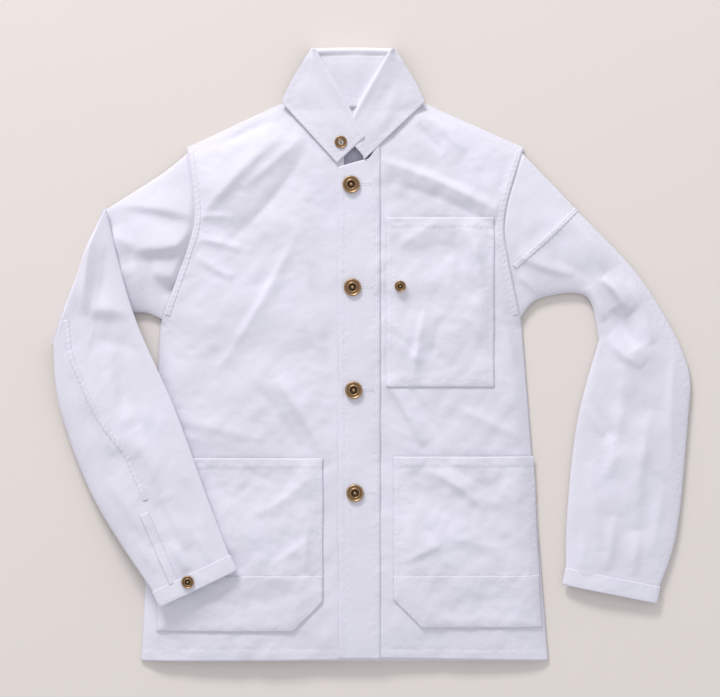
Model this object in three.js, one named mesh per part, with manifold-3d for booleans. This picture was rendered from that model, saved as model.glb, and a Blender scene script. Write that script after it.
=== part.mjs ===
// A buttoned cotton work jacket for beekeeping, lying flat on its back with both sleeves bent.
// Millimetres, +Z up from the table. While the jacket is laid out, x is measured from the button
// line towards the wearer's left and y from the back hem towards the collar. At the end the whole
// jacket is moved, so that the origin is at the middle of its footprint, on the table.
import * as THREE from 'three';
import { mergeVertices } from 'three/addons/utils/BufferGeometryUtils.js';
import ManifoldModule from 'manifold-3d';

// ---- Overall sizes ---------------------------------------------------------------------------
const JACKET_LENGTH = 831; // from the back hem to the top of the collar
const CHEST_WIDTH = 492; // from underarm to underarm

// ---- Cloth and clearances --------------------------------------------------------------------
const CLOTH = 1.5; // a body panel with its facings
const SLEEVE_CLOTH = 1.2; // a sleeve panel
const PATCH_CLOTH = 1; // a pocket patch
const TRIM_CLOTH = 0.8; // a hem band, a reinforcement or a label
const COLLAR_CLOTH = 2; // a collar leaf, two plies and its interlining
const SEWN_GAP = 0.3; // between two pieces that are sewn together
const FREE_GAP = 0.4; // between two pieces that move past each other

// ---- Hollows ---------------------------------------------------------------------------------
const BODY_HOLLOW = 14; // between the back and the fronts
const POCKET_HOLLOW = 4.4; // behind a pocket patch
const SLEEVE_LIFT = 5; // under a sleeve, where it leaves the raised armhole
const SLEEVE_HEADROOM = 0.5; // from the top of a sleeve to the front over its head

// ---- Body ------------------------------------------------------------------------------------
const COLLAR_HEIGHT = 74; // from the neck to the top of the collar
const SHOULDER_DROP = 60; // from the neck down to the shoulder tip
const FRONT_NECK_DROP = 89; // from the neck down to the top of the fronts at the button line
const ARMHOLE_DEPTH = 244; // from the shoulder tip down to the underarm
const ARMHOLE_LOW_RISE = 92; // from the underarm up to where the armhole turns steep
const ARMHOLE_DEEP_RISE = 152; // from the underarm up to where the armhole is closest to the button line
const FRONT_HEM_Y = 4; // the fronts end a little above the back hem
const NECK_X = 97;
const NECK_Y = JACKET_LENGTH - COLLAR_HEIGHT;
const SHOULDER_Y = NECK_Y - SHOULDER_DROP;
const FRONT_NECK_Y = NECK_Y - FRONT_NECK_DROP;
const UNDERARM_Y = SHOULDER_Y - ARMHOLE_DEPTH;
const ARMHOLE_LOW_Y = UNDERARM_Y + ARMHOLE_LOW_RISE;
const ARMHOLE_DEEP_Y = UNDERARM_Y + ARMHOLE_DEEP_RISE;
const BACK_NECK_DROP = 12;
const SEAM_WIDTH = 8; // a felled seam
// The jacket lies a little turned on its long axis, so its right half shows wider than its left.
const TURN = 16.5;
const LEFT_SIDE_X = CHEST_WIDTH / 2 - TURN;
const RIGHT_SIDE_X = CHEST_WIDTH / 2 + TURN;
const BODY_SIDES = {
  left: {
    sign: 1, hem: LEFT_SIDE_X + 35.5, underarm: LEFT_SIDE_X,
    low: LEFT_SIDE_X - 20, deep: LEFT_SIDE_X - 24, tip: LEFT_SIDE_X + 2,
  },
  right: {
    sign: -1, hem: RIGHT_SIDE_X + 25.5, underarm: RIGHT_SIDE_X,
    low: RIGHT_SIDE_X - 33, deep: RIGHT_SIDE_X - 48.5, tip: RIGHT_SIDE_X - 37,
  },
};

// ---- Front opening ---------------------------------------------------------------------------
const PLACKET_EDGE_X = -20;
const PLACKET_SEAM_X = 37.1;
const STAND_SIDE_GAP = 1; // from the button stand to the right front
const BUTTONHOLE_CLEARANCE = 1.5; // round a front button's cap

// ---- Buttons ---------------------------------------------------------------------------------
const FRONT_BUTTON_RADIUS = 11.75;
const SMALL_BUTTON_RADIUS = 8.5;
const POCKET_BUTTON_RADIUS = 7.7;
const FRONT_BUTTON_COUNT = 4;
const FRONT_BUTTON_TOP_Y = FRONT_NECK_Y - 22.5;
const FRONT_BUTTON_PITCH = 138.7;
const FRONT_BUTTON_TOP_X = -2.5;
const FRONT_BUTTON_STEP_X = 1.7; // the button line leans a little
const CAP_HEIGHT = 5.2; // of a front button's cap; a smaller cap is lower by its radius
const CAP_SIDES = 24;
const TACK_RADIUS = 1.5;
const TACK_HEAD_RADIUS = 5;
const TACK_HEAD_HEIGHT = 0.8;
const TACK_IN_CAP = 1.4; // how far the nail reaches into the cap
const TACK_SIDES = 12;
const SOCKET_CLEARANCE = 0.4; // between the nail and the cap's socket
const EYELET_CLEARANCE = 0.3; // between the nail and the cloth

// ---- Collar ----------------------------------------------------------------------------------
const COLLAR_TOP_Y = JACKET_LENGTH;
const COLLAR_TOP_X = 54; // half width of the fold at the back of the neck
const COLLAR_CORNER = { x: NECK_X, y: NECK_Y + 0.5 };
const RIGHT_POINT = { x: -21.5, y: FRONT_NECK_Y + 6 }; // the lower tip of the right leaf
const RIGHT_ROLL_END = { x: 13.5, y: FRONT_NECK_Y + 39.5 }; // where the roll line meets the leaf's front
const LEFT_ROLL_END = { x: -0.5, y: FRONT_NECK_Y + 65.5 }; // the bottom of the open V
const LEFT_POINT = { x: 18, y: FRONT_NECK_Y + 12 }; // the lower tip of the left leaf
const COLLAR_BULGE = 6; // the leaves' outer sides curve out by this
const ROLL_DEPTH = 9; // of the fold at the back of the neck
const COLLAR_BUTTON = { x: -16.5, y: FRONT_NECK_Y + 34.5 };
const LABEL = { width: 34, height: 12, y: NECK_Y + 5 };
const ROLL_INSET = 6; // of a roll line's start, from the end of the fold at the back of the neck
const LEAF_GAP = 0.8; // from the right leaf's front edge to the left leaf behind it
const COLLAR_STEPS = 6; // straight steps along a leaf's outer side

// ---- Pockets ---------------------------------------------------------------------------------
const POCKET_SEAM = 5; // width of the sewn edge
const POCKET_BAND = 13; // depth of the turned mouth
const LEFT_POCKET = {
  inner: PLACKET_SEAM_X + 17.4, outerTop: LEFT_SIDE_X + 15.5, outerBottom: LEFT_SIDE_X + 27.5,
  bottom: 46.5, top: 278.5, chamfer: 39,
};
const RIGHT_POCKET = {
  inner: 20.5 - PLACKET_EDGE_X, outerTop: RIGHT_SIDE_X + 3, outerBottom: RIGHT_SIDE_X + 3,
  bottom: 41.5, top: 276.5, chamfer: 41,
};
const REINFORCEMENT_TOP_Y = 117.5;
const POCKET_SPACING = 93.5; // from the left lower pocket's mouth to the chest pocket
const CHEST_POCKET_DROP = 66.5; // from the top of the fronts down to the chest pocket's mouth
const CHEST_POCKET_MARGIN = 15; // from the armhole where it is closest to the button line
const CHEST_POCKET = {
  inner: PLACKET_SEAM_X + 7.4,
  outerTop: BODY_SIDES.left.deep - CHEST_POCKET_MARGIN,
  outerBottom: BODY_SIDES.left.deep - CHEST_POCKET_MARGIN,
  bottom: LEFT_POCKET.top + POCKET_SPACING, top: FRONT_NECK_Y - CHEST_POCKET_DROP, chamfer: 0,
};
const POCKET_BUTTON = { x: CHEST_POCKET.inner + 19, y: CHEST_POCKET.bottom + 136 };

// ---- Sleeves ---------------------------------------------------------------------------------
const SLEEVE_TUCK = 10; // how far the sleeve head reaches into the armhole
const HEAD_TOP_TUCK = 15; // the same, at the shoulder
const CUFF_DEPTH = 22;
const CUFF_SIDE = 4; // thickness of the cuff at its two folded edges
const CUFF_BUTTON_ALONG = 50; // from the cuff's back corner
const CUFF_BUTTON_UP = 14; // from the cuff's lower edge
const ELBOW_GAP = 0.6; // between the upper and the lower sleeve at the crease
const FOLD_GAP = 0.5; // between the lower pocket and the forearm folded over it
const VENT_LENGTH = 100;
const VENT_WIDTH = 13;
const VENT_ALONG = 26; // from the cuff's back corner
const VENT_SLANT = 0.032; // sideways run for each millimetre up the sleeve
const EDGE_STEPS = 18; // straight steps along a curved edge
// Outer and inner edges run from the shoulder to the elbow, and from the elbow to the cuff. The
// upper sleeve's inner edge is set out from the underarm, and all the others from the shoulder tip.
// Each edge of an upper sleeve ends at the crease, where an edge of the lower sleeve starts.
const SLEEVES = {
  left: {
    upperOuter: [[4.5, -13], [70, -82.5], [157, -175.5]],
    upperInner: [[4.5, 9], [28, 39], [87, 42]],
    lowerOuter: [[209.5, -261.5], [225.5, -310], [223, -369.5], [208, -519.5], [181, -617.5]],
    lowerInner: [[102, -261.5], [73, -369.5], [59, -492], [52, -591.5]],
    folded: false,
    buttonBelow: true,
  },
  right: {
    upperOuter: [[-4.5, -11], [-40, -38.5]],
    upperInner: [[-3.5, 9], [-34.5, 20], [-87.5, 5]],
    lowerOuter: [[-179, -269.5], [-170.5, -357], [-124, -479.5], [-35, -619.5]],
    lowerInner: [[-108, -83.5], [-71, -223.5], [-15, -352.5], [32, -479.5], [70, -569.5]],
    folded: true,
    buttonBelow: false,
  },
};

// ---- Heights that follow from the sizes above ------------------------------------------------
const FRONT_Z = CLOTH + BODY_HOLLOW;
const FRONT_TOP = FRONT_Z + CLOTH;
const SLEEVE_HEIGHT = FRONT_Z - SLEEVE_HEADROOM - SLEEVE_LIFT; // outside height of a flattened sleeve
const PLACKET_Z = FRONT_TOP + FREE_GAP;
const PLACKET_TOP = PLACKET_Z + CLOTH;
const PATCH_Z = FRONT_TOP + POCKET_HOLLOW;
const PATCH_TOP = PATCH_Z + PATCH_CLOTH;
const BAND_Z = PATCH_TOP + SEWN_GAP;
const BAND_TOP = BAND_Z + TRIM_CLOTH;
const FOLDED_Z = BAND_TOP + FOLD_GAP;
const LEAF_Z = FRONT_TOP + FREE_GAP;
const LEAF_TOP = LEAF_Z + COLLAR_CLOTH;

// ---- Finishes --------------------------------------------------------------------------------
const cotton = new THREE.MeshStandardMaterial({ color: 0xe6e4f0, roughness: 0.85, metalness: 0 });
const tape = new THREE.MeshStandardMaterial({ color: 0xefedf6, roughness: 0.8, metalness: 0 });
const bronze = new THREE.MeshStandardMaterial({ color: 0x9a7446, roughness: 0.38, metalness: 1 });
const steel = new THREE.MeshStandardMaterial({ color: 0x8c8a86, roughness: 0.4, metalness: 1 });

const wasm = await ManifoldModule();
wasm.setup();
const jacket = new THREE.Group();

// ---- Helpers ---------------------------------------------------------------------------------
const point = ([x, y]) => new THREE.Vector2(x, y);
const pointAt = ({ x, y }) => new THREE.Vector2(x, y);

// A closed plan outline, raised from one height to another
function prism(outline, low, high, holes = []) {
  const turnsLeft = !THREE.ShapeUtils.isClockWise(outline); // a hole has to turn the other way
  const shape = new THREE.Shape(turnsLeft ? outline : outline.slice().reverse());
  for (const { centre, radius } of holes) {
    const hole = new THREE.Path();
    hole.absarc(centre.x, centre.y, radius, 0, 2 * Math.PI, true);
    shape.holes.push(hole);
  }
  const options = { depth: high - low, bevelEnabled: false, curveSegments: TACK_SIDES };
  return new THREE.ExtrudeGeometry(shape, options).translate(0, 0, low);
}

function add(name, geometry, material) {
  const mesh = new THREE.Mesh(geometry, material);
  mesh.name = name;
  jacket.add(mesh);
}

// A smooth edge through a few points, as points for an outline
function curve(points, steps = EDGE_STEPS) {
  return new THREE.SplineCurve(points).getPoints(steps);
}

// A band of one width along a line of points, to the left of its direction for a positive width
function ribbon(points, width) {
  const shifted = points.map((here, i) => {
    const before = points[Math.max(i - 1, 0)];
    const after = points[Math.min(i + 1, points.length - 1)];
    const along = after.clone().sub(before).normalize();
    return new THREE.Vector2(here.x - along.y * width, here.y + along.x * width);
  });
  return [...points, ...shifted.reverse()];
}

function solidFrom(geometry) {
  const bare = geometry.clone();
  bare.deleteAttribute('normal');
  bare.deleteAttribute('uv');
  const merged = mergeVertices(bare);
  return new wasm.Manifold(new wasm.Mesh({
    numProp: 3,
    vertProperties: new Float32Array(merged.attributes.position.array),
    triVerts: new Uint32Array(merged.index.array),
  }));
}

function geometryFrom(solid) {
  const { vertProperties, triVerts } = solid.getMesh();
  const geometry = new THREE.BufferGeometry();
  geometry.setAttribute('position', new THREE.BufferAttribute(vertProperties, 3));
  geometry.setIndex(new THREE.BufferAttribute(triVerts, 1));
  return geometry;
}

// What is left of a solid inside another
function clip(geometry, within) {
  return geometryFrom(solidFrom(geometry).intersect(solidFrom(within)));
}

function cut(geometry, ...tools) {
  return geometryFrom(tools.reduce((left, tool) => left.subtract(solidFrom(tool)), solidFrom(geometry)));
}

function lathe(profile, sides) {
  const points = profile.map(([r, z]) => new THREE.Vector2(r, z));
  return new THREE.LatheGeometry(points, sides).rotateX(Math.PI / 2);
}

// ---- Body panels -----------------------------------------------------------------------------
// One half's outer edge, from the hem up the side and the armhole to the shoulder tip
function sideEdge({ sign, hem, underarm, low, deep, tip }, hemY) {
  const armhole = [[underarm, UNDERARM_Y], [low, ARMHOLE_LOW_Y], [deep, ARMHOLE_DEEP_Y], [tip, SHOULDER_Y]];
  return [
    new THREE.Vector2(sign * hem, hemY),
    ...curve(armhole.map(([x, y]) => new THREE.Vector2(sign * x, y))),
  ];
}

// The neckline of one half, from the shoulder seam down to the given point
function neckline(sign, end) {
  const corner = new THREE.Vector2(sign * NECK_X, NECK_Y);
  const control = new THREE.Vector2((corner.x + 2 * end.x) / 3, (2 * corner.y + end.y) / 3);
  return new THREE.QuadraticBezierCurve(corner, control, end).getPoints(EDGE_STEPS / 2);
}

function frontOutline(side, innerX) {
  const inner = new THREE.Vector2(innerX, FRONT_NECK_Y);
  return [
    new THREE.Vector2(innerX, FRONT_HEM_Y),
    ...sideEdge(side, FRONT_HEM_Y),
    ...neckline(side.sign, inner),
  ];
}

function backOutline() {
  const middle = new THREE.Vector2(0, NECK_Y - BACK_NECK_DROP);
  const left = [...sideEdge(BODY_SIDES.left, 0), ...neckline(1, middle)];
  const right = [...sideEdge(BODY_SIDES.right, 0), ...neckline(-1, middle)];
  return [...left, ...right.reverse().slice(1)];
}

function buttonPlaces() {
  return Array.from({ length: FRONT_BUTTON_COUNT }, (_, i) => new THREE.Vector2(
    FRONT_BUTTON_TOP_X + i * FRONT_BUTTON_STEP_X,
    FRONT_BUTTON_TOP_Y - i * FRONT_BUTTON_PITCH,
  ));
}

const eyelet = (centre) => ({ centre, radius: TACK_RADIUS + EYELET_CLEARANCE });

function addBodyPanels() {
  const rightEdgeX = PLACKET_EDGE_X - STAND_SIDE_GAP;
  add('back_panel', prism(backOutline(), 0, CLOTH), cotton);
  add('left_front_panel', prism(frontOutline(BODY_SIDES.left, PLACKET_SEAM_X), FRONT_Z, FRONT_TOP), cotton);
  add('right_front_panel', prism(frontOutline(BODY_SIDES.right, rightEdgeX), FRONT_Z, FRONT_TOP), cotton);
}

// The strip of doubled cloth under the placket, which carries the front buttons
function addButtonStand() {
  const left = PLACKET_EDGE_X - STAND_SIDE_GAP + SEWN_GAP;
  const right = PLACKET_SEAM_X - FREE_GAP;
  const top = FRONT_NECK_Y - SEWN_GAP;
  const outline = [[left, FRONT_HEM_Y], [right, FRONT_HEM_Y], [right, top], [left, top]];
  const holes = buttonPlaces().map(eyelet);
  add('button_stand', prism(outline.map(point), FRONT_Z, FRONT_TOP, holes), cotton);
}

function addBodySeams(name, { sign, hem, underarm, tip }) {
  const low = CLOTH + SEWN_GAP;
  const high = FRONT_Z - SEWN_GAP;
  const side = [[sign * hem, FRONT_HEM_Y], [sign * underarm, UNDERARM_Y - SEAM_WIDTH]].map(point);
  const shoulder = [[sign * tip, SHOULDER_Y], [sign * NECK_X, NECK_Y]].map(point);
  add(`${name}_side_seam`, prism(ribbon(side, sign * SEAM_WIDTH), low, high), cotton);
  add(`${name}_shoulder_seam`, prism(ribbon(shoulder, sign * SEAM_WIDTH), low, high), cotton);
}

// ---- Placket ---------------------------------------------------------------------------------
function addPlacket() {
  const right = PLACKET_SEAM_X - FREE_GAP;
  const outline = [
    [PLACKET_EDGE_X, FRONT_HEM_Y], [right, FRONT_HEM_Y],
    [right, FRONT_NECK_Y], [PLACKET_EDGE_X, FRONT_NECK_Y],
  ];
  const radius = FRONT_BUTTON_RADIUS + BUTTONHOLE_CLEARANCE;
  const holes = buttonPlaces().map((centre) => ({ centre, radius }));
  add('placket_band', prism(outline.map(point), PLACKET_Z, PLACKET_TOP, holes), cotton);
}

// ---- Buttons ---------------------------------------------------------------------------------
// A dished cap with a raised rim, an inner ring and a rivet head, and a socket under it
function capGeometry(radius) {
  const height = CAP_HEIGHT * Math.sqrt(radius / FRONT_BUTTON_RADIUS);
  const socketRadius = TACK_RADIUS + SOCKET_CLEARANCE;
  const socketDepth = TACK_IN_CAP + SOCKET_CLEARANCE;
  return lathe([
    [0, socketDepth], [socketRadius, socketDepth], [socketRadius, 0], [0.8 * radius, 0],
    [radius, 0.3 * height], [radius, 0.6 * height], [0.9 * radius, 0.85 * height],
    [0.68 * radius, 0.6 * height], [0.5 * radius, 0.8 * height], [0.4 * radius, 0.55 * height],
    [0.2 * radius, 0.6 * height], [0.15 * radius, 0.95 * height], [0, height],
  ], CAP_SIDES);
}

// A nail with a flat head, standing on its head
function tackGeometry(length) {
  return lathe([
    [0, 0], [TACK_HEAD_RADIUS, 0], [TACK_HEAD_RADIUS, TACK_HEAD_HEIGHT], [TACK_RADIUS, TACK_HEAD_HEIGHT],
    [TACK_RADIUS, length], [0, length],
  ], TACK_SIDES);
}

// A cap and its tack, either side of the layers from clothLow to clothHigh. A button that faces
// the table has its cap below them.
function addButton(name, place, radius, clothLow, clothHigh, facesDown = false) {
  const headToCloth = TACK_HEAD_HEIGHT + SEWN_GAP;
  const length = headToCloth + (clothHigh - clothLow) + FREE_GAP + TACK_IN_CAP;
  const cap = capGeometry(radius);
  const tack = tackGeometry(length);
  if (facesDown) {
    cap.rotateX(Math.PI).translate(place.x, place.y, clothLow - FREE_GAP);
    tack.rotateX(Math.PI).translate(place.x, place.y, clothHigh + headToCloth);
  } else {
    cap.translate(place.x, place.y, clothHigh + FREE_GAP);
    tack.translate(place.x, place.y, clothLow - headToCloth);
  }
  add(`${name}_button`, cap, bronze);
  add(`${name}_tack`, tack, steel);
}

function addFrontButtons() {
  for (const [i, place] of buttonPlaces().entries()) {
    addButton(`front_${i + 1}`, place, FRONT_BUTTON_RADIUS, FRONT_Z, PLACKET_TOP);
  }
}

// ---- Pockets ---------------------------------------------------------------------------------
// A pocket's outline, drawn in from its sewn edges, with its inner lower corner cut off
function pocketOutline(pocket, sign, inset = 0, openTop = 0) {
  const { inner, outerTop, outerBottom, bottom, top, chamfer } = pocket;
  const corner = chamfer ? chamfer - inset * (2 - Math.SQRT2) : 0;
  const outline = [
    new THREE.Vector2(inner + inset, top + openTop),
    new THREE.Vector2(inner + inset, bottom + inset + corner),
    new THREE.Vector2(inner + inset + corner, bottom + inset),
    new THREE.Vector2(outerBottom - inset, bottom + inset),
    new THREE.Vector2(outerTop - inset, top + openTop),
  ];
  const distinct = outline.filter((p, i) => i === 0 || p.distanceTo(outline[i - 1]) > 0);
  return distinct.map((p) => new THREE.Vector2(sign * p.x, p.y));
}

// The part of a pocket's outline between two heights
function pocketSlice(pocket, sign, low, high) {
  const { outerTop, outerBottom, bottom, top } = pocket;
  const edgeAt = (y) => THREE.MathUtils.mapLinear(y, bottom, top, outerBottom, outerTop);
  const slice = { ...pocket, bottom: low, top: high, outerBottom: edgeAt(low), outerTop: edgeAt(high) };
  return pocketOutline({ ...slice, chamfer: low === bottom ? pocket.chamfer : 0 }, sign);
}

function addPocket(name, pocket, sign, holes = []) {
  const patch = prism(pocketOutline(pocket, sign), FRONT_TOP + SEWN_GAP, PATCH_TOP, holes);
  const hollow = prism(pocketOutline(pocket, sign, POCKET_SEAM, POCKET_SEAM), FRONT_TOP, PATCH_Z);
  const band = pocketSlice(pocket, sign, pocket.top - POCKET_BAND, pocket.top);
  add(name, cut(patch, hollow), cotton);
  add(`${name}_hem`, prism(band, BAND_Z, BAND_TOP), cotton);
}

function addReinforcement(name, pocket, sign) {
  const patch = pocketSlice(pocket, sign, pocket.bottom, REINFORCEMENT_TOP_Y);
  add(name, prism(patch, BAND_Z, BAND_TOP), cotton);
}

function addPockets() {
  addPocket('chest_pocket', CHEST_POCKET, 1, [eyelet(pointAt(POCKET_BUTTON))]);
  addButton('chest_pocket', POCKET_BUTTON, POCKET_BUTTON_RADIUS, PATCH_Z, PATCH_TOP);
  addPocket('left_lower_pocket', LEFT_POCKET, 1);
  addReinforcement('left_pocket_reinforcement', LEFT_POCKET, 1);
  addPocket('right_lower_pocket', RIGHT_POCKET, -1);
  addReinforcement('right_pocket_reinforcement', RIGHT_POCKET, -1);
}

// ---- Collar ----------------------------------------------------------------------------------
// The outer side of a leaf, from the fold at the back of the neck to its outer corner
function collarSide(sign) {
  const top = new THREE.Vector2(sign * (COLLAR_TOP_X - FREE_GAP), COLLAR_TOP_Y - ROLL_DEPTH);
  const corner = new THREE.Vector2(sign * COLLAR_CORNER.x, COLLAR_CORNER.y);
  const middle = top.clone().lerp(corner, 0.5);
  middle.x += sign * COLLAR_BULGE;
  return new THREE.QuadraticBezierCurve(top, middle, corner).getPoints(COLLAR_STEPS);
}

// Where a leaf's roll line starts, just below the fold at the back of the neck
function rollStart(sign) {
  return new THREE.Vector2(sign * (COLLAR_TOP_X - ROLL_INSET), COLLAR_TOP_Y - ROLL_DEPTH - FREE_GAP);
}

function addCollarLeaves() {
  const rollEnd = pointAt(RIGHT_ROLL_END);
  const right = [rollStart(-1), rollEnd, pointAt(RIGHT_POINT), ...collarSide(-1).reverse()];
  const behind = new THREE.Vector2(LEAF_GAP, 0);
  const left = [
    rollStart(1), pointAt(LEFT_ROLL_END).add(behind), rollEnd.clone().add(behind), pointAt(LEFT_POINT),
    ...collarSide(1).reverse(),
  ];
  add('right_collar_leaf', prism(right, LEAF_Z, LEAF_TOP, [eyelet(pointAt(COLLAR_BUTTON))]), cotton);
  add('left_collar_leaf', prism(left, LEAF_Z, LEAF_TOP), cotton);
  addButton('collar', COLLAR_BUTTON, SMALL_BUTTON_RADIUS, LEAF_Z, LEAF_TOP);
}

// The inside of the collar behind the neck: the stand, the fold above it and the neck label
function addCollarBack() {
  const middle = new THREE.Vector2(0, NECK_Y - BACK_NECK_DROP);
  const raise = (p) => new THREE.Vector2(p.x, p.y + 2 * SEWN_GAP);
  const lower = [...neckline(-1, middle), ...neckline(1, middle).reverse().slice(1)].map(raise);
  const upper = [[COLLAR_TOP_X, COLLAR_TOP_Y], [-COLLAR_TOP_X, COLLAR_TOP_Y]].map(point);
  const bottomY = COLLAR_TOP_Y - ROLL_DEPTH;
  const fold = [
    [-COLLAR_TOP_X, bottomY], [COLLAR_TOP_X, bottomY],
    [COLLAR_TOP_X, COLLAR_TOP_Y], [-COLLAR_TOP_X, COLLAR_TOP_Y],
  ];
  const { width, height, y } = LABEL;
  const label = [[-width / 2, y], [width / 2, y], [width / 2, y + height], [-width / 2, y + height]];
  const labelZ = CLOTH + SEWN_GAP;
  add('collar_stand', prism([...lower, ...upper], 0, CLOTH), cotton);
  add('collar_back_fold', prism(fold.map(point), CLOTH + SEWN_GAP, LEAF_TOP), cotton);
  add('neck_label', prism(label.map(point), labelZ, labelZ + TRIM_CLOTH), tape);
}

// ---- Sleeves ---------------------------------------------------------------------------------
// The sleeve head's edge inside the armhole, from the shoulder down to the underarm
function sleeveHead({ sign, low, deep }, outerStart, innerStart) {
  const inside = (x, y) => new THREE.Vector2(sign * (x - SLEEVE_TUCK), y);
  const top = new THREE.Vector2(outerStart.x - sign * HEAD_TOP_TUCK, outerStart.y - SLEEVE_TUCK);
  const bottom = new THREE.Vector2(innerStart.x - sign * SLEEVE_TUCK, innerStart.y);
  return curve([top, inside(deep, ARMHOLE_DEEP_Y), inside(low, ARMHOLE_LOW_Y), bottom], EDGE_STEPS / 2);
}

// Edges moved along the sleeve so that they stop short of the elbow crease
function stopShort(edge, atEnd, distance) {
  const [end, next] = atEnd ? [edge.length - 1, edge.length - 2] : [0, 1];
  const moved = edge[end].clone().lerp(edge[next], distance / edge[end].distanceTo(edge[next]));
  return edge.map((p, i) => (i === end ? moved : p));
}

// Two flat panels with a seam along each edge between them
function addTube(name, outer, inner, headPoints, low) {
  const outline = [...outer, ...inner.slice().reverse(), ...headPoints.slice().reverse()];
  const high = low + SLEEVE_HEIGHT;
  const seamLow = low + SLEEVE_CLOTH + SEWN_GAP;
  const seamHigh = high - SLEEVE_CLOTH - SEWN_GAP;
  const turn = Math.sign(THREE.ShapeUtils.area(outline));
  const tube = prism(outline, low, high);
  const seam = (edge, width) => clip(prism(ribbon(edge, width), seamLow, seamHigh), tube);
  add(`${name}_top`, prism(outline, high - SLEEVE_CLOTH, high), cotton);
  add(`${name}_under`, prism(outline, low, low + SLEEVE_CLOTH), cotton);
  add(`${name}_back_seam`, seam(outer, turn * SEAM_WIDTH), cotton);
  add(`${name}_front_seam`, seam(inner, -turn * SEAM_WIDTH), cotton);
}

// The corner of a cuff at the back seam, the directions along it and up the sleeve, and its width
function cuffFrame({ lowerOuter, lowerInner }) {
  const corner = lowerOuter.at(-1);
  const along = lowerInner.at(-1).clone().sub(corner);
  const width = along.length();
  along.normalize();
  const up = new THREE.Vector2(-along.y, along.x);
  if (up.y < 0) up.negate();
  const at = (a, u) => corner.clone().addScaledVector(along, a).addScaledVector(up, u);
  return { width, at };
}

function cuffBlock({ width, at }, inset, overrun, low, high) {
  const outline = [
    at(inset, -overrun), at(width - inset, -overrun), at(width - inset, CUFF_DEPTH + overrun),
    at(inset, CUFF_DEPTH + overrun),
  ];
  return prism(outline, low, high);
}

// The cuff band goes all round the end of the sleeve
function addCuff(name, sleeve, low) {
  const frame = cuffFrame(sleeve);
  const place = frame.at(CUFF_BUTTON_ALONG, CUFF_BUTTON_UP);
  const [wallLow, wallHigh] = sleeve.buttonBelow
    ? [low, low + SLEEVE_CLOTH]
    : [low + SLEEVE_HEIGHT - SLEEVE_CLOTH, low + SLEEVE_HEIGHT];
  const eyeletRadius = TACK_RADIUS + EYELET_CLEARANCE;
  const eyeletTool = new THREE.CylinderGeometry(eyeletRadius, eyeletRadius, 2 * SLEEVE_CLOTH, TACK_SIDES)
    .rotateX(Math.PI / 2).translate(place.x, place.y, (wallLow + wallHigh) / 2);
  const ring = cut(
    cuffBlock(frame, 0, 0, low, low + SLEEVE_HEIGHT),
    cuffBlock(frame, CUFF_SIDE, 1, low + SLEEVE_CLOTH, low + SLEEVE_HEIGHT - SLEEVE_CLOTH),
    eyeletTool,
  );
  add(`${name}_cuff`, ring, cotton);
  addButton(`${name}_cuff`, place, SMALL_BUTTON_RADIUS, wallLow, wallHigh, sleeve.buttonBelow);
}

// The bound slit above the cuff, on the side of the sleeve that carries its button
function addVentPlacket(name, sleeve, low) {
  const { at } = cuffFrame(sleeve);
  const start = at(VENT_ALONG, CUFF_DEPTH + 2 * SEWN_GAP);
  const end = at(VENT_ALONG + VENT_SLANT * VENT_LENGTH, CUFF_DEPTH + VENT_LENGTH);
  const cornerSide = Math.sign(THREE.ShapeUtils.area([start, end, at(0, 0)]));
  const outline = ribbon([start, end], -cornerSide * VENT_WIDTH);
  const [ventLow, ventHigh] = sleeve.buttonBelow
    ? [low - SEWN_GAP - TRIM_CLOTH, low - SEWN_GAP]
    : [low + SLEEVE_HEIGHT + SEWN_GAP, low + SLEEVE_HEIGHT + SEWN_GAP + TRIM_CLOTH];
  add(`${name}_vent_placket`, prism(outline, ventLow, ventHigh), cotton);
}

// A smooth edge that stops at the cuff's upper end
function lowerEdge(points, frame, along) {
  const end = frame.at(along, CUFF_DEPTH + SEWN_GAP);
  return curve([...points.slice(0, -1), end]);
}

// The edges of a sleeve on its side of the body. Folding the sleeve swaps its edges at the crease.
function placeSleeve(sleeve, { sign, tip, underarm }) {
  const fromTip = ([x, y]) => new THREE.Vector2(sign * tip + x, SHOULDER_Y + y);
  const fromUnderarm = ([x, y]) => new THREE.Vector2(sign * underarm + x, UNDERARM_Y + y);
  const lowerOuter = sleeve.lowerOuter.map(fromTip);
  const lowerInner = sleeve.lowerInner.map(fromTip);
  const ends = [lowerOuter[0], lowerInner[0]];
  const [outerEnd, innerEnd] = sleeve.folded ? ends.reverse() : ends;
  const upperOuter = [...sleeve.upperOuter.map(fromTip), outerEnd];
  const upperInner = [...sleeve.upperInner.map(fromUnderarm), innerEnd];
  return { ...sleeve, upperOuter, upperInner, lowerOuter, lowerInner };
}

function addSleeve(name, pattern, side) {
  const sleeve = placeSleeve(pattern, side);
  const lowerLow = sleeve.folded ? FOLDED_Z : SLEEVE_LIFT;
  const frame = cuffFrame(sleeve);
  const upperOuter = stopShort(curve(sleeve.upperOuter), true, ELBOW_GAP);
  const upperInner = stopShort(curve(sleeve.upperInner), true, ELBOW_GAP);
  const lowerOuter = stopShort(lowerEdge(sleeve.lowerOuter, frame, 0), false, ELBOW_GAP);
  const lowerInner = stopShort(lowerEdge(sleeve.lowerInner, frame, frame.width), false, ELBOW_GAP);
  const head = sleeveHead(side, upperOuter[0], upperInner[0]);
  addTube(`${name}_upper_sleeve`, upperOuter, upperInner, head, SLEEVE_LIFT);
  addTube(`${name}_lower_sleeve`, lowerOuter, lowerInner, [], lowerLow);
  addCuff(name, sleeve, lowerLow);
  addVentPlacket(name, sleeve, lowerLow);
}

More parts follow.
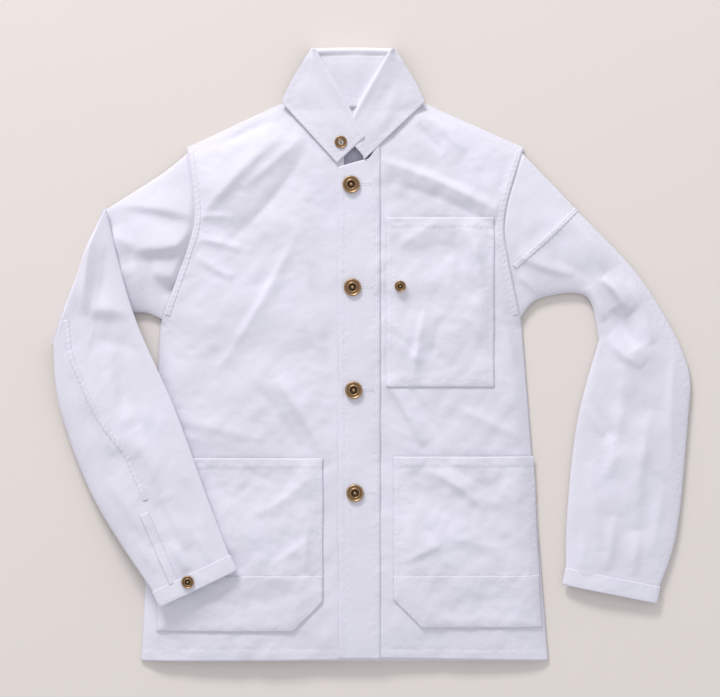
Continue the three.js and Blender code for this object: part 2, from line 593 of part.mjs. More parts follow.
// ---- Assembly --------------------------------------------------------------------------------
addBodyPanels();
addButtonStand();
addBodySeams('left', BODY_SIDES.left);
addBodySeams('right', BODY_SIDES.right);
addPlacket();
addFrontButtons();
addPockets();
addCollarBack();
addCollarLeaves();
addSleeve('left', SLEEVES.left, BODY_SIDES.left);
addSleeve('right', SLEEVES.right, BODY_SIDES.right);

const footprint = new THREE.Box3().setFromObject(jacket);
const middle = footprint.getCenter(new THREE.Vector3());
jacket.position.set(-middle.x, -middle.y, -footprint.min.z);

export default jacket;
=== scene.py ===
"""The looks of a buttoned cotton work jacket for beekeeping, lying flat on its back.

The jacket's CAD frame gives every place and every moving body. The cloth is laid over it as thin
closed shells with folds, seams and stitching, and the buttons are modelled as turned metal caps.
Garment millimetres are used for the pattern: x from the button line towards the wearer's left, y
from the back hem towards the collar, z up from the table.
"""

import logging
import math
from dataclasses import dataclass
from enum import Enum
from typing import Callable, Dict, Iterable, List, Optional, Sequence, Tuple, Union

import bpy
import numpy as np
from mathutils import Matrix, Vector
from mathutils.bvhtree import BVHTree


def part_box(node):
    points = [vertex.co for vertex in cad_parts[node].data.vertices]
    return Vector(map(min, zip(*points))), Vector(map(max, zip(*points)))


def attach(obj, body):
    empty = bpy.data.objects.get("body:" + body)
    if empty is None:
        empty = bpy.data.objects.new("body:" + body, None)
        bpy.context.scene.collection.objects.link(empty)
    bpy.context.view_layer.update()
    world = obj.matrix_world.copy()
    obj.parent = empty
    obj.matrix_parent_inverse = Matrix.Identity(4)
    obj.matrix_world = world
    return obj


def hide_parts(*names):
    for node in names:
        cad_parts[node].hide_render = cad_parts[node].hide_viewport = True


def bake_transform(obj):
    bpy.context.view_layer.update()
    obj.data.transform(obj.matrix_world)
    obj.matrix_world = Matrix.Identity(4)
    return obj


logging.basicConfig(level=logging.INFO, format="%(name)s: %(message)s")
LOG = logging.getLogger("jacket")

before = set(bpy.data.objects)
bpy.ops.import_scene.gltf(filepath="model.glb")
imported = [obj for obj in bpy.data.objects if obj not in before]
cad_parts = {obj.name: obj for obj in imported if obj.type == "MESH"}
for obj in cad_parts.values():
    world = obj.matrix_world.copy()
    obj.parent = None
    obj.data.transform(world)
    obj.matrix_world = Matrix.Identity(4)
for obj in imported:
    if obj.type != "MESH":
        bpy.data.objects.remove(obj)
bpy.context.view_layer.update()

Array = np.ndarray
Point = Tuple[float, float]
Line = Sequence[Point]
Height = Callable[[Array, Array], Array]
MM = 0.001


class Body(str, Enum):
    """The moving bodies of the frame."""

    TORSO = "torso"
    PLACKET = "placket"
    RIGHT_COLLAR = "right_collar"
    LEFT_COLLAR = "left_collar"
    LEFT_UPPER = "left_upper_sleeve"
    LEFT_LOWER = "left_lower_sleeve"
    RIGHT_UPPER = "right_upper_sleeve"
    RIGHT_LOWER = "right_lower_sleeve"


@dataclass(frozen=True)
class Bend:
    """Cloth that crosses a joint between `a` and `b`, with the places `start` and `end` (garment mm)."""

    a: Body
    b: Body
    start: Tuple[float, float, float]
    end: Tuple[float, float, float]


Holding = Union[Body, str, Bend]


class Layout:
    """Turns garment millimetres into metres in the shared frame."""

    def __init__(self, placket_edge: float = -20.0) -> None:
        """Find the garment's zero from the boxes of the placket and the back panel."""
        self.x0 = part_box("placket_band")[0].x / MM - placket_edge
        self.y0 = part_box("back_panel")[0].y / MM

    def frame(self, points: Array) -> Array:
        """Garment millimetres to frame metres."""
        return (np.asarray(points, float) + np.array([self.x0, self.y0, 0.0])) * MM

    def garment(self, points: Array) -> Array:
        """Frame metres to garment millimetres."""
        return np.asarray(points, float) / MM - np.array([self.x0, self.y0, 0.0])

    def vector(self, point: Tuple[float, float, float]) -> Vector:
        """One garment place as a frame vector."""
        return Vector(self.frame(np.array(point)))


LAYOUT = Layout()


class Noise:
    """Smooth seeded noise over the plane, from about -1 to 1."""

    SIZE = 128

    def __init__(self, seed: int) -> None:
        """Fill the lattice from one seed."""
        self.lattice = np.random.default_rng(seed).uniform(-1, 1, (self.SIZE, self.SIZE))

    def at(self, x: Array, y: Array, size: float, stretch: float = 1.0, turn: float = 0.0) -> Array:
        """Noise values.

        Args:
            x, y: places in millimetres.
            size: distance between lattice points across the stretch, in millimetres.
            stretch: how many times longer the shapes are along the turned direction.
            turn: direction of the stretch, in degrees from x.

        Returns:
            An array shaped like x.
        """
        c, s = math.cos(math.radians(turn)), math.sin(math.radians(turn))
        u = (x * c + y * s) / (size * stretch) + 37.3
        v = (y * c - x * s) / size + 51.7
        i, j = np.floor(u).astype(int), np.floor(v).astype(int)
        f, g = u - i, v - j
        f, g = f * f * f * (f * (f * 6 - 15) + 10), g * g * g * (g * (g * 6 - 15) + 10)
        i0, i1, j0, j1 = i % self.SIZE, (i + 1) % self.SIZE, j % self.SIZE, (j + 1) % self.SIZE
        low = self.lattice[i0, j0] * (1 - f) + self.lattice[i1, j0] * f
        high = self.lattice[i0, j1] * (1 - f) + self.lattice[i1, j1] * f
        return (low * (1 - g) + high * g) * 1.6


@dataclass(frozen=True)
class Fold:
    """A ridge in the cloth, or a crease if its rise is negative (garment mm)."""

    start: Point
    end: Point
    rise: float
    width: float
    lean: float = 0.0
    bow: float = 0.0

    def height(self, x: Array, y: Array) -> Array:
        """How much the fold lifts the cloth at each place."""
        dx, dy = self.end[0] - self.start[0], self.end[1] - self.start[1]
        length = math.hypot(dx, dy)
        t = ((x - self.start[0]) * dx + (y - self.start[1]) * dy) / length**2
        side = (-(x - self.start[0]) * dy + (y - self.start[1]) * dx) / length
        inside = np.clip(t, 0, 1)
        side = side - self.bow * 4 * inside * (1 - inside)
        width = self.width * np.exp(self.lean * np.tanh(side / self.width))
        along = np.clip(4 * inside * (1 - inside), 0, 1) ** 0.7
        return self.rise * np.exp(-(((side / width) ** 2 + 0.03) ** 0.68) + 0.09) * along


def folded(folds: Iterable[Fold], x: Array, y: Array) -> Array:
    """The lift of several folds together."""
    total = np.zeros(np.broadcast(x, y).shape)
    for fold in folds:
        total = total + fold.height(x, y)
    return total


def spline(points: Line, steps: int) -> Array:
    """A smooth line through a few points."""
    p = np.asarray(points, float)
    last = len(p) - 1
    places = np.linspace(0, last, steps + 1)
    i = np.minimum(places.astype(int), last - 1)
    w = (places - i)[:, None]
    p0, p1, p2, p3 = p[np.maximum(i - 1, 0)], p[i], p[i + 1], p[np.minimum(i + 2, last)]
    v0, v1 = (p2 - p0) / 2, (p3 - p1) / 2
    return (2 * p1 - 2 * p2 + v0 + v1) * w**3 + (-3 * p1 + 3 * p2 - 2 * v0 - v1) * w**2 + v0 * w + p1


def spaced(points: Line, count: int) -> Array:
    """The same line with evenly spaced points."""
    p = np.asarray(points, float)
    run = np.concatenate([[0], np.cumsum(np.linalg.norm(np.diff(p, axis=0), axis=1))])
    at = np.linspace(0, run[-1], count)
    return np.stack([np.interp(at, run, p[:, k]) for k in range(p.shape[1])], axis=1)


def offset(points: Line, distance: float) -> Array:
    """A line moved to the left of its direction."""
    p = np.asarray(points, float)
    along = np.gradient(p, axis=0)
    along /= np.maximum(np.linalg.norm(along, axis=1, keepdims=True), 1e-9)
    return p + np.stack([-along[:, 1], along[:, 0]], axis=1) * distance


def distance_to(line: Line, x: Array, y: Array) -> Array:
    """Distance from each place to a line of straight pieces."""
    p = np.asarray(line, float)
    best = np.full(np.broadcast(x, y).shape, 1e9)
    for a, b in zip(p[:-1], p[1:]):
        d = b - a
        t = np.clip(((x - a[0]) * d[0] + (y - a[1]) * d[1]) / max(d @ d, 1e-9), 0, 1)
        best = np.minimum(best, np.hypot(x - a[0] - t * d[0], y - a[1] - t * d[1]))
    return best


def upright(x: Union[float, Array], y: Array) -> Array:
    """A line of points at the given heights up the garment."""
    return np.stack([np.broadcast_to(x, y.shape), y], axis=1)


def smooth(t: Array, low: float = 0.0, high: float = 1.0) -> Array:
    """0 before low, 1 after high, and a smooth step between them."""
    u = np.clip((t - low) / (high - low), 0, 1)
    return u * u * (3 - 2 * u)


# ---- Pattern -----------------------------------------------------------------------------------
@dataclass(frozen=True)
class Side:
    """One half of the body, with distances from the button line."""

    sign: int
    hem: float
    underarm: float
    low: float
    deep: float
    tip: float


@dataclass(frozen=True)
class Pattern:
    """The body's pattern in garment millimetres."""

    left: Side = Side(1, 265, 229.5, 209.5, 205.5, 231.5)
    right: Side = Side(-1, 288, 262.5, 229.5, 214, 225.5)
    underarm_y: float = 453.0
    low_y: float = 545.0
    deep_y: float = 605.0
    shoulder_y: float = 697.0
    neck: Point = (97.0, 757.0)
    front_neck_y: float = 668.0
    back_drop: float = 12.0
    placket_edge: float = -20.0
    placket_seam: float = 37.1

    def armhole(self, side: Side) -> Array:
        """The armhole's edge, from the underarm to the shoulder tip."""
        points = [(side.underarm, self.underarm_y), (side.low, self.low_y),
                  (side.deep, self.deep_y), (side.tip, self.shoulder_y)]
        return spline([(side.sign * x, y) for x, y in points], 36)

    def outer_edge(self, side: Side, hem: float) -> Array:
        """One half's edge from the hem to the shoulder tip."""
        start = np.array([[side.sign * side.hem, hem]])
        return np.concatenate([start, self.armhole(side)])

    def shoulder(self, side: Side) -> Line:
        """The shoulder seam, from the tip to the neck."""
        return [(side.sign * side.tip, self.shoulder_y), (side.sign * self.neck[0], self.neck[1])]

    def neckline(self, side: Side, end: Point) -> Array:
        """One half's neckline, from the given lower end up to the shoulder seam."""
        corner = np.array([side.sign * self.neck[0], self.neck[1]])
        low = np.array(end, float)
        control = np.array([(corner[0] + 2 * low[0]) / 3, (2 * corner[1] + low[1]) / 3])
        t = np.linspace(0, 1, 24)[:, None]
        return low * (1 - t) ** 2 + 2 * control * t * (1 - t) + corner * t**2


PATTERN = Pattern()


# ---- The shape of the body ---------------------------------------------------------------------
class BodyForm:
    """The height of the fronts over the table, with their folds."""

    EDGE = 2.4
    TOP = 17.0
    FOLDS = (
        # wearer's right front
        Fold((-214, 592), (-92, 716), 4.2, 14, 0.5, 6),
        Fold((-186, 700), (-112, 733), -2.6, 8, 0.2),
        Fold((-176, 560), (-62, 694), -2.8, 11, -0.3, -8),
        Fold((-150, 640), (-66, 712), 2.6, 9, 0.2),
        Fold((-212, 572), (-150, 556), 2.4, 6, 0.3, 3),
        Fold((-212, 550), (-160, 520), 2.0, 6, 0.3, -3),
        Fold((-214, 600), (-160, 600), 1.8, 6, -0.3, 3),
        Fold((-84, 600), (-56, 505), 2.6, 8, 0.4, 4),
        Fold((-190, 384), (-72, 588), 2.4, 9, -0.4, -6),
        Fold((-104, 384), (-34, 268), 4.2, 10, 0.4, 5),
        Fold((-128, 372), (-60, 262), -2.2, 8, 0.0, 4),
        Fold((-236, 330), (-120, 300), 1.6, 10, 0.3),
        Fold((-60, 470), (-30, 380), 1.6, 8, 0.0),
        # wearer's left front
        Fold((86, 728), (122, 688), -2.6, 7, 0.3),
        Fold((104, 742), (150, 690), 1.8, 8, 0.3),
        Fold((34, 678), (204, 604), 4.4, 11, -0.6, 6),
        Fold((48, 650), (196, 590), -2.2, 9, 0.0, 4),
        Fold((40, 386), (96, 292), 4.2, 9, 0.4, 4),
        Fold((66, 384), (116, 300), -2.0, 8, 0.0, 3),
        Fold((196, 480), (222, 400), 1.8, 8, 0.2),
        Fold((120, 350), (232, 300), 1.8, 9, -0.3, 3),
        Fold((206, 560), (160, 600), 1.6, 6, 0.2),
        Fold((40, 470), (92, 420), 1.6, 8, 0.2),
    )

    def __init__(self, pattern: Pattern) -> None:
        """Keep the lines that the height depends on."""
        self.pattern = pattern
        self.noise = Noise(11)
        sides = (pattern.left, pattern.right)
        self.side_seams = [[(s.sign * s.hem, -60), (s.sign * s.hem, 0),
                            (s.sign * s.underarm, pattern.underarm_y)] for s in sides]
        self.shoulders = [pattern.shoulder(s) for s in sides]
        self.armholes = [pattern.armhole(s) for s in sides]

    def plain(self, x: Array, y: Array) -> Array:
        """The height without folds."""
        side = np.minimum(*(distance_to(line, x, y) for line in self.side_seams))
        shoulder = np.minimum(*(self.shoulder_depth(line, x, y) for line in self.shoulders))
        armhole = np.minimum(*(distance_to(line, x, y) for line in self.armholes))
        rise = (1 - np.exp(-side / 22)) * (1 - np.exp(-np.maximum(shoulder, 0) / 30))
        hem = 0.6 + 0.4 * (1 - np.exp(-np.maximum(y - 2, 0) / 46))
        return self.EDGE + (self.TOP - self.EDGE) * rise * hem - 2.4 * rise * np.exp(-armhole / 16)

    @staticmethod
    def shoulder_depth(line: Line, x: Array, y: Array) -> Array:
        """Distance below a shoulder seam's line, negative above it."""
        (ax, ay), (bx, by) = line
        side = 1 if bx < ax else -1
        length = math.hypot(bx - ax, by - ay)
        return side * ((bx - ax) * (y - ay) - (by - ay) * (x - ax)) / length

    def calm(self, x: Array, y: Array) -> Array:
        """1 on open cloth, 0 close to the body's outline and the button line."""
        side = np.minimum(*(distance_to(line, x, y) for line in self.side_seams))
        shoulder = np.minimum(*(self.shoulder_depth(line, x, y) for line in self.shoulders))
        armhole = np.minimum(*(distance_to(line, x, y) for line in self.armholes))
        centre = distance_to([(-2.5, 720), (3, 0)], x, y)
        return (smooth(side, 0, 22) * smooth(shoulder, 0, 22) * smooth(armhole, 2, 16)
                * (0.25 + 0.75 * smooth(centre, 14, 40)))

    def height(self, x: Array, y: Array) -> Array:
        """The height of the top of the fronts."""
        n = self.noise
        ripple = (1.25 * n.at(x, y, 70, 1.5, 30) + 0.75 * n.at(x, y, 34, 1.8, -35)
                  + 0.34 * n.at(x, y, 15, 2.0, 50) + 0.14 * n.at(x, y, 8, 1.6, -20))
        return self.plain(x, y) + self.calm(x, y) * (1.5 * folded(self.FOLDS, x, y) + 1.35 * ripple)


BODY = BodyForm(PATTERN)


# ---- Finishes ----------------------------------------------------------------------------------
@dataclass(frozen=True)
class ClothFinish:
    """How a woven cloth looks. Colours are linear."""

    name: str
    color: Tuple[float, float, float]
    soiled: Tuple[float, float, float]
    weave: float = 0.5
    crease: float = 0.55
    roughness: float = 0.82


@dataclass(frozen=True)
class MetalFinish:
    """How a metal looks, with a darker tone in its recesses. Colours are linear."""

    name: str
    bright: Tuple[float, float, float]
    dark: Tuple[float, float, float]
    roughness: float


TWILL = ClothFinish("cotton twill", (0.735, 0.722, 0.825), (0.70, 0.682, 0.765))
LINING = ClothFinish("inside twill", (0.80, 0.785, 0.875), (0.77, 0.752, 0.83), crease=0.4)
# Painted shade: the twill made darker for the collar band's front end, which lies in shadow between the
# leaves.
SHADED = ClothFinish("band facing", (0.56, 0.55, 0.66), (0.52, 0.51, 0.62))
TAPE = ClothFinish("woven tape", (0.80, 0.79, 0.86), (0.77, 0.76, 0.83), crease=0.1)
THREAD = ClothFinish("sewing thread", (0.77, 0.76, 0.85), (0.73, 0.72, 0.80), weave=0.0, crease=0.0)
BRASS = MetalFinish("antique brass", (0.46, 0.30, 0.17), (0.045, 0.03, 0.022), 0.34)
STEEL = MetalFinish("nail steel", (0.50, 0.49, 0.47), (0.25, 0.24, 0.23), 0.35)


def add_node(tree: bpy.types.NodeTree, kind: str, values: Dict[str, object],
             vector: Optional[bpy.types.NodeSocket] = None) -> bpy.types.Node:
    """A node with its inputs set by name, and its Vector input linked if one is given."""
    node = tree.nodes.new(kind)
    for label, value in values.items():
        node.inputs[label].default_value = value
    if vector is not None:
        tree.links.new(vector, node.inputs["Vector"])
    return node


def add_tone(tree: bpy.types.NodeTree, first: Sequence[float], second: Sequence[float],
             factor: bpy.types.NodeSocket, shader: bpy.types.Node) -> None:
    """Mix two colours by a factor into the shader's base colour."""
    tone = tree.nodes.new("ShaderNodeMix")
    tone.data_type = "RGBA"
    tone.inputs["A"].default_value = (*first, 1)
    tone.inputs["B"].default_value = (*second, 1)
    tree.links.new(factor, tone.inputs["Factor"])
    tree.links.new(tone.outputs["Result"], shader.inputs["Base Color"])


class NodeGroups:
    """Shared effects as node groups that only put out values."""

    @staticmethod
    def _group(name: str, inputs: Sequence[Tuple[str, str]], outputs: Sequence[Tuple[str, str]]):
        """A new node group with its sockets, and its input and output nodes."""
        group = bpy.data.node_groups.new(name, "ShaderNodeTree")
        for label, kind in inputs:
            group.interface.new_socket(name=label, in_out="INPUT", socket_type=kind)
        for label, kind in outputs:
            group.interface.new_socket(name=label, in_out="OUTPUT", socket_type=kind)
        return group, group.nodes.new("NodeGroupInput"), group.nodes.new("NodeGroupOutput")

    @classmethod
    def twill(cls) -> bpy.types.NodeTree:
        """Diagonal ribs with uneven threads, from UVs in metres."""
        group, start, end = cls._group(
            "Twill weave", [("UV", "NodeSocketVector")], [("Height", "NodeSocketFloat")])
        nodes, links = group.nodes, group.links
        turn = add_node(group, "ShaderNodeMapping", {"Rotation": (0, 0, math.radians(58))},
                        start.outputs["UV"])
        ribs = add_node(group, "ShaderNodeTexWave", {
            "Scale": 380.0, "Distortion": 1.6, "Detail": 1.0, "Detail Scale": 2.0}, turn.outputs["Vector"])
        slubs = add_node(group, "ShaderNodeTexNoise", {"Scale": 900.0, "Detail": 2.0},
                start.outputs["UV"])
        mix = nodes.new("ShaderNodeMath")
        mix.operation = "MULTIPLY_ADD"
        mix.inputs[1].default_value = 0.55
        links.new(slubs.outputs[0], mix.inputs[0])
        links.new(ribs.outputs["Fac"], mix.inputs[2])
        links.new(mix.outputs[0], end.inputs["Height"])
        return group

    @classmethod
    def creases(cls) -> bpy.types.NodeTree:
        """Small creases of washed cotton, and tight puckers close to a seam."""
        group, start, end = cls._group(
            "Washed creases", [("UV", "NodeSocketVector"), ("Seam", "NodeSocketFloat")],
            [("Height", "NodeSocketFloat")])
        nodes, links = group.nodes, group.links

        def noise(scale: float, detail: float, distortion: float,
                  squeeze: Tuple[float, float, float] = (1.0, 1.0, 1.0)) -> bpy.types.NodeSocket:
            """A noise texture on squeezed UVs."""
            mapping = add_node(group, "ShaderNodeMapping", {"Scale": squeeze}, start.outputs["UV"])
            values = {"Scale": scale, "Detail": detail, "Distortion": distortion}
            return add_node(group, "ShaderNodeTexNoise", values, mapping.outputs["Vector"]).outputs[0]

        def maths(operation: str, a, b, c=None):
            """A maths node on values or sockets."""
            node = nodes.new("ShaderNodeMath")
            node.operation = operation
            for socket, value in zip(node.inputs, (a, b, c)):
                if value is None:
                    continue
                if isinstance(value, (int, float)):
                    socket.default_value = value
                else:
                    links.new(value, socket)
            return node.outputs[0]

        broad = noise(26.0, 3.0, 1.2)
        ridged = maths("ABSOLUTE", maths("SUBTRACT", broad, 0.5), 0.0)
        fine = noise(95.0, 3.0, 0.5, (1.0, 0.8, 1.0))
        pucker = noise(150.0, 1.5, 0.2)
        base = maths("MULTIPLY_ADD", fine, 0.22, maths("MULTIPLY", ridged, 1.5))
        near = maths("MULTIPLY", maths("SUBTRACT", pucker, 0.5), start.outputs["Seam"])
        groove = maths("MULTIPLY", maths("POWER", start.outputs["Seam"], 5.0), -0.35)
        total = maths("ADD", maths("MULTIPLY_ADD", near, 1.9, base), groove)
        links.new(total, end.inputs["Height"])
        return group

    @classmethod
    def wear(cls) -> bpy.types.NodeTree:
        """Soft uneven tone of used cloth."""
        group, start, end = cls._group(
            "Uneven tone", [("UV", "NodeSocketVector")], [("Mask", "NodeSocketFloat")])
        broad = add_node(group, "ShaderNodeTexNoise", {"Scale": 9.0, "Detail": 5.0}, start.outputs["UV"])
        ramp = add_node(group, "ShaderNodeMapRange", {"From Min": 0.35, "From Max": 0.7})
        group.links.new(broad.outputs[0], ramp.inputs["Value"])
        group.links.new(ramp.outputs["Result"], end.inputs["Mask"])
        return group


class Finisher:
    """Makes the materials, each once."""

    def __init__(self) -> None:
        """Make the shared node groups."""
        self.twill = NodeGroups.twill()
        self.creases = NodeGroups.creases()
        self.wear = NodeGroups.wear()
        self.made: Dict[str, bpy.types.Material] = {}

    def _blank(self, name: str):
        """A new material with its node tree and its main shader."""
        material = bpy.data.materials.new(name)
        material.use_nodes = True
        tree = material.node_tree
        return material, tree, tree.nodes["Principled BSDF"]

    def cloth(self, finish: ClothFinish) -> bpy.types.Material:
        """A woven cloth on UVs in metres, with a `seam` attribute near its stitching."""
        if finish.name in self.made:
            return self.made[finish.name]
        material, tree, shader = self._blank(finish.name)
        nodes, links = tree.nodes, tree.links
        uv = nodes.new("ShaderNodeUVMap")
        uv.uv_map = "UVMap"
        seam = nodes.new("ShaderNodeAttribute")
        seam.attribute_name = "seam"

        def group(tree_used) -> bpy.types.Node:
            """One use of a shared group, fed with the UVs."""
            node = nodes.new("ShaderNodeGroup")
            node.node_tree = tree_used
            links.new(uv.outputs["UV"], node.inputs["UV"])
            return node

        add_tone(tree, finish.color, finish.soiled, group(self.wear).outputs["Mask"], shader)
        shader.inputs["Roughness"].default_value = finish.roughness
        shader.inputs["Specular IOR Level"].default_value = 0.25
        shader.inputs["Sheen Weight"].default_value = 0.08
        shader.inputs["Sheen Roughness"].default_value = 0.5
        normal = None
        if finish.crease > 0:
            creases = group(self.creases)
            links.new(seam.outputs["Fac"], creases.inputs["Seam"])
            normal = add_node(tree, "ShaderNodeBump", {"Strength": 1.0, "Distance": finish.crease * MM})
            links.new(creases.outputs["Height"], normal.inputs["Height"])
        if finish.weave > 0:
            bump = add_node(tree, "ShaderNodeBump", {"Strength": finish.weave, "Distance": 0.12 * MM})
            links.new(group(self.twill).outputs["Height"], bump.inputs["Height"])
            if normal is not None:
                links.new(normal.outputs["Normal"], bump.inputs["Normal"])
            normal = bump
        if normal is not None:
            links.new(normal.outputs["Normal"], shader.inputs["Normal"])
        self.made[finish.name] = material
        return material

    def metal(self, finish: MetalFinish) -> bpy.types.Material:
        """A metal that is darker where its `recess` attribute is high."""
        if finish.name in self.made:
            return self.made[finish.name]
        material, tree, shader = self._blank(finish.name)
        nodes, links = tree.nodes, tree.links
        recess = nodes.new("ShaderNodeAttribute")
        recess.attribute_name = "recess"
        place = nodes.new("ShaderNodeTexCoord")
        patina = add_node(tree, "ShaderNodeTexNoise", {"Scale": 420.0, "Detail": 4.0},
                          place.outputs["Object"])
        mask = nodes.new("ShaderNodeMath")
        mask.operation = "MULTIPLY_ADD"
        mask.inputs[1].default_value = 0.5
        mask.use_clamp = True
        links.new(patina.outputs[0], mask.inputs[0])
        links.new(recess.outputs["Fac"], mask.inputs[2])
        drop = nodes.new("ShaderNodeMath")
        drop.operation = "SUBTRACT"
        drop.use_clamp = True
        drop.inputs[1].default_value = 0.22
        links.new(mask.outputs[0], drop.inputs[0])
        add_tone(tree, finish.bright, finish.dark, drop.outputs[0], shader)
        shader.inputs["Metallic"].default_value = 1.0
        rough = add_node(tree, "ShaderNodeMapRange", {
            "To Min": finish.roughness, "To Max": finish.roughness + 0.35})
        links.new(drop.outputs[0], rough.inputs["Value"])
        links.new(rough.outputs["Result"], shader.inputs["Roughness"])
        self.made[finish.name] = material
        return material

    def plain(self, name: str, color: Tuple[float, float, float]) -> bpy.types.Material:
        """A matte surface with a faint unevenness."""
        material, tree, shader = self._blank(name)
        place = tree.nodes.new("ShaderNodeTexCoord")
        noise = add_node(tree, "ShaderNodeTexNoise", {"Scale": 2.5}, place.outputs["Object"])
        add_tone(tree, color, [0.985 * c for c in color], noise.outputs[0], shader)
        shader.inputs["Roughness"].default_value = 0.95
        return material


FINISHER = Finisher()


# ---- Cloth shells ------------------------------------------------------------------------------
@dataclass
class Grid:
    """Points of the outer face of a cloth, in rows (garment mm), with flat places in mm."""

    points: Array
    flat: Array
    round_about: bool = False
    facing: Optional[Array] = None

    @classmethod
    def ruled(cls, left: Array, right: Array, columns: int, height: Height) -> "Grid":
        """Rows straight across between two edges, laid at a height."""
        t = np.linspace(0, 1, columns)[None, :, None]
        plan = left[:, None, :] * (1 - t) + right[:, None, :] * t
        z = height(plan[..., 0], plan[..., 1])
        return cls(np.concatenate([plan, z[..., None]], axis=2), plan)

    def normals(self) -> Array:
        """Unit normals of the outer face."""
        if self.facing is not None:
            return self.facing
        p = self.points
        if self.round_about:
            across = np.roll(p, -1, axis=1) - np.roll(p, 1, axis=1)
        else:
            across = np.gradient(p, axis=1)
        n = np.cross(across, np.gradient(p, axis=0))
        return n / np.maximum(np.linalg.norm(n, axis=2, keepdims=True), 1e-9)


def join_rows(rows: int, columns: int, wrap: bool) -> Tuple[list, int]:
    """Faces of a grid of vertices and of the same grid behind it, and the second grid's start."""
    faces: List[Tuple[int, ...]] = []
    behind = rows * columns
    last = columns if wrap else columns - 1
    for i in range(rows - 1):
        for j in range(last):
            k = (j + 1) % columns
            a, b, c, d = i * columns + j, i * columns + k, (i + 1) * columns + k, (i + 1) * columns + j
            faces.append((a, b, c, d))
            faces.append((behind + d, behind + c, behind + b, behind + a))
    return faces, behind


class Cloth:
    """A piece of cloth: a closed shell of even thickness that rides with a frame body, or stays where it
    is built across a joint.
    """

    def __init__(self, name: str, grid: Grid, thickness: float, finish: ClothFinish,
                 seams: Sequence[Line] = (), reach: float = 7.0) -> None:
        """Build the shell.

        Args:
            name: the piece's name.
            grid: its outer face.
            thickness: in millimetres, laid on the inner side.
            finish: its cloth.
            seams: lines of stitching that pucker it.
            reach: how far the puckers reach from a seam, in millimetres.
        """
        self.name, self.grid, self.thickness = name, grid, thickness
        rows, columns = grid.points.shape[:2]
        outer = grid.points.reshape(-1, 3)
        inner = (grid.points - grid.normals() * thickness).reshape(-1, 3)
        faces, behind = join_rows(rows, columns, grid.round_about)
        faces += self._rims(rows, columns, behind, grid.round_about)
        mesh = bpy.data.meshes.new(name)
        mesh.from_pydata(LAYOUT.frame(np.concatenate([outer, inner])), [], faces)
        mesh.validate()
        flat = np.concatenate([grid.flat.reshape(-1, 2)] * 2) * MM
        layer = mesh.uv_layers.new(name="UVMap")
        corners = np.empty(len(mesh.loops), int)
        mesh.loops.foreach_get("vertex_index", corners)
        layer.data.foreach_set("uv", flat[corners].astype(np.float32).ravel())
        near = np.zeros(len(outer))
        for line in seams:
            near = np.maximum(near, np.exp(-distance_to(line, outer[:, 0], outer[:, 1]) / reach))
        seam = mesh.attributes.new("seam", "FLOAT", "POINT")
        seam.data.foreach_set("value", np.concatenate([near, near]).astype(np.float32))
        mesh.shade_smooth()
        self.object = bpy.data.objects.new(name, mesh)
        bpy.context.scene.collection.objects.link(self.object)
        mesh.materials.append(FINISHER.cloth(finish))
        LOG.info("%s: %d faces", name, len(mesh.polygons))

    @staticmethod
    def _rims(rows: int, columns: int, behind: int, wrap: bool) -> list:
        """The faces round the edge of the shell."""
        faces = []
        last = columns if wrap else columns - 1
        for j in range(last):
            k = (j + 1) % columns
            faces.append((k, j, behind + j, behind + k))
            top = (rows - 1) * columns
            faces.append((top + j, top + k, behind + top + k, behind + top + j))
        if not wrap:
            for i in range(rows - 1):
                a, b = i * columns, (i + 1) * columns
                faces.append((a, b, behind + b, behind + a))
                c, d = a + columns - 1, b + columns - 1
                faces.append((d, c, behind + c, behind + d))
        return faces

    def shade_as_one(self) -> None:
        """Shade with the grid's own normals, so that two parts of one cloth meet without a line."""
        n = self.grid.normals().reshape(-1, 3)
        self.object.data.normals_split_custom_set_from_vertices(np.concatenate([n, -n]).tolist())

    def reach(self) -> Tuple[float, float]:
        """The longest run across and along the folded surface, in metres."""
        p = self.grid.points
        if self.grid.round_about:
            p = np.concatenate([p, p[:, :1]], axis=1)
        across = np.linalg.norm(np.diff(p, axis=1), axis=2).sum(axis=1).max()
        along = np.linalg.norm(np.diff(p, axis=0), axis=2).sum(axis=0).max()
        return float(across * MM), float(along * MM)

    def place(self, holding: Holding, *nodes: str) -> None:
        """Tie the piece to the body it rides on, or bake it in place across a joint, and put it in place
        of CAD nodes.
        """
        hold(self.object, holding)
        if nodes:
            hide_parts(*nodes)

    def declare(self, held: str, rests_on: Sequence[str] = (),
                fits: Sequence[bpy.types.Object] = ()) -> None:
        """Does nothing.
        """


def hold(piece: bpy.types.Object, holding: Holding) -> None:
    """Tie a piece to the body it rides on; a piece across a joint only has its transform baked in."""
    if isinstance(holding, Bend):
        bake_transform(piece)
    else:
        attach(piece, holding.value if isinstance(holding, Body) else holding)


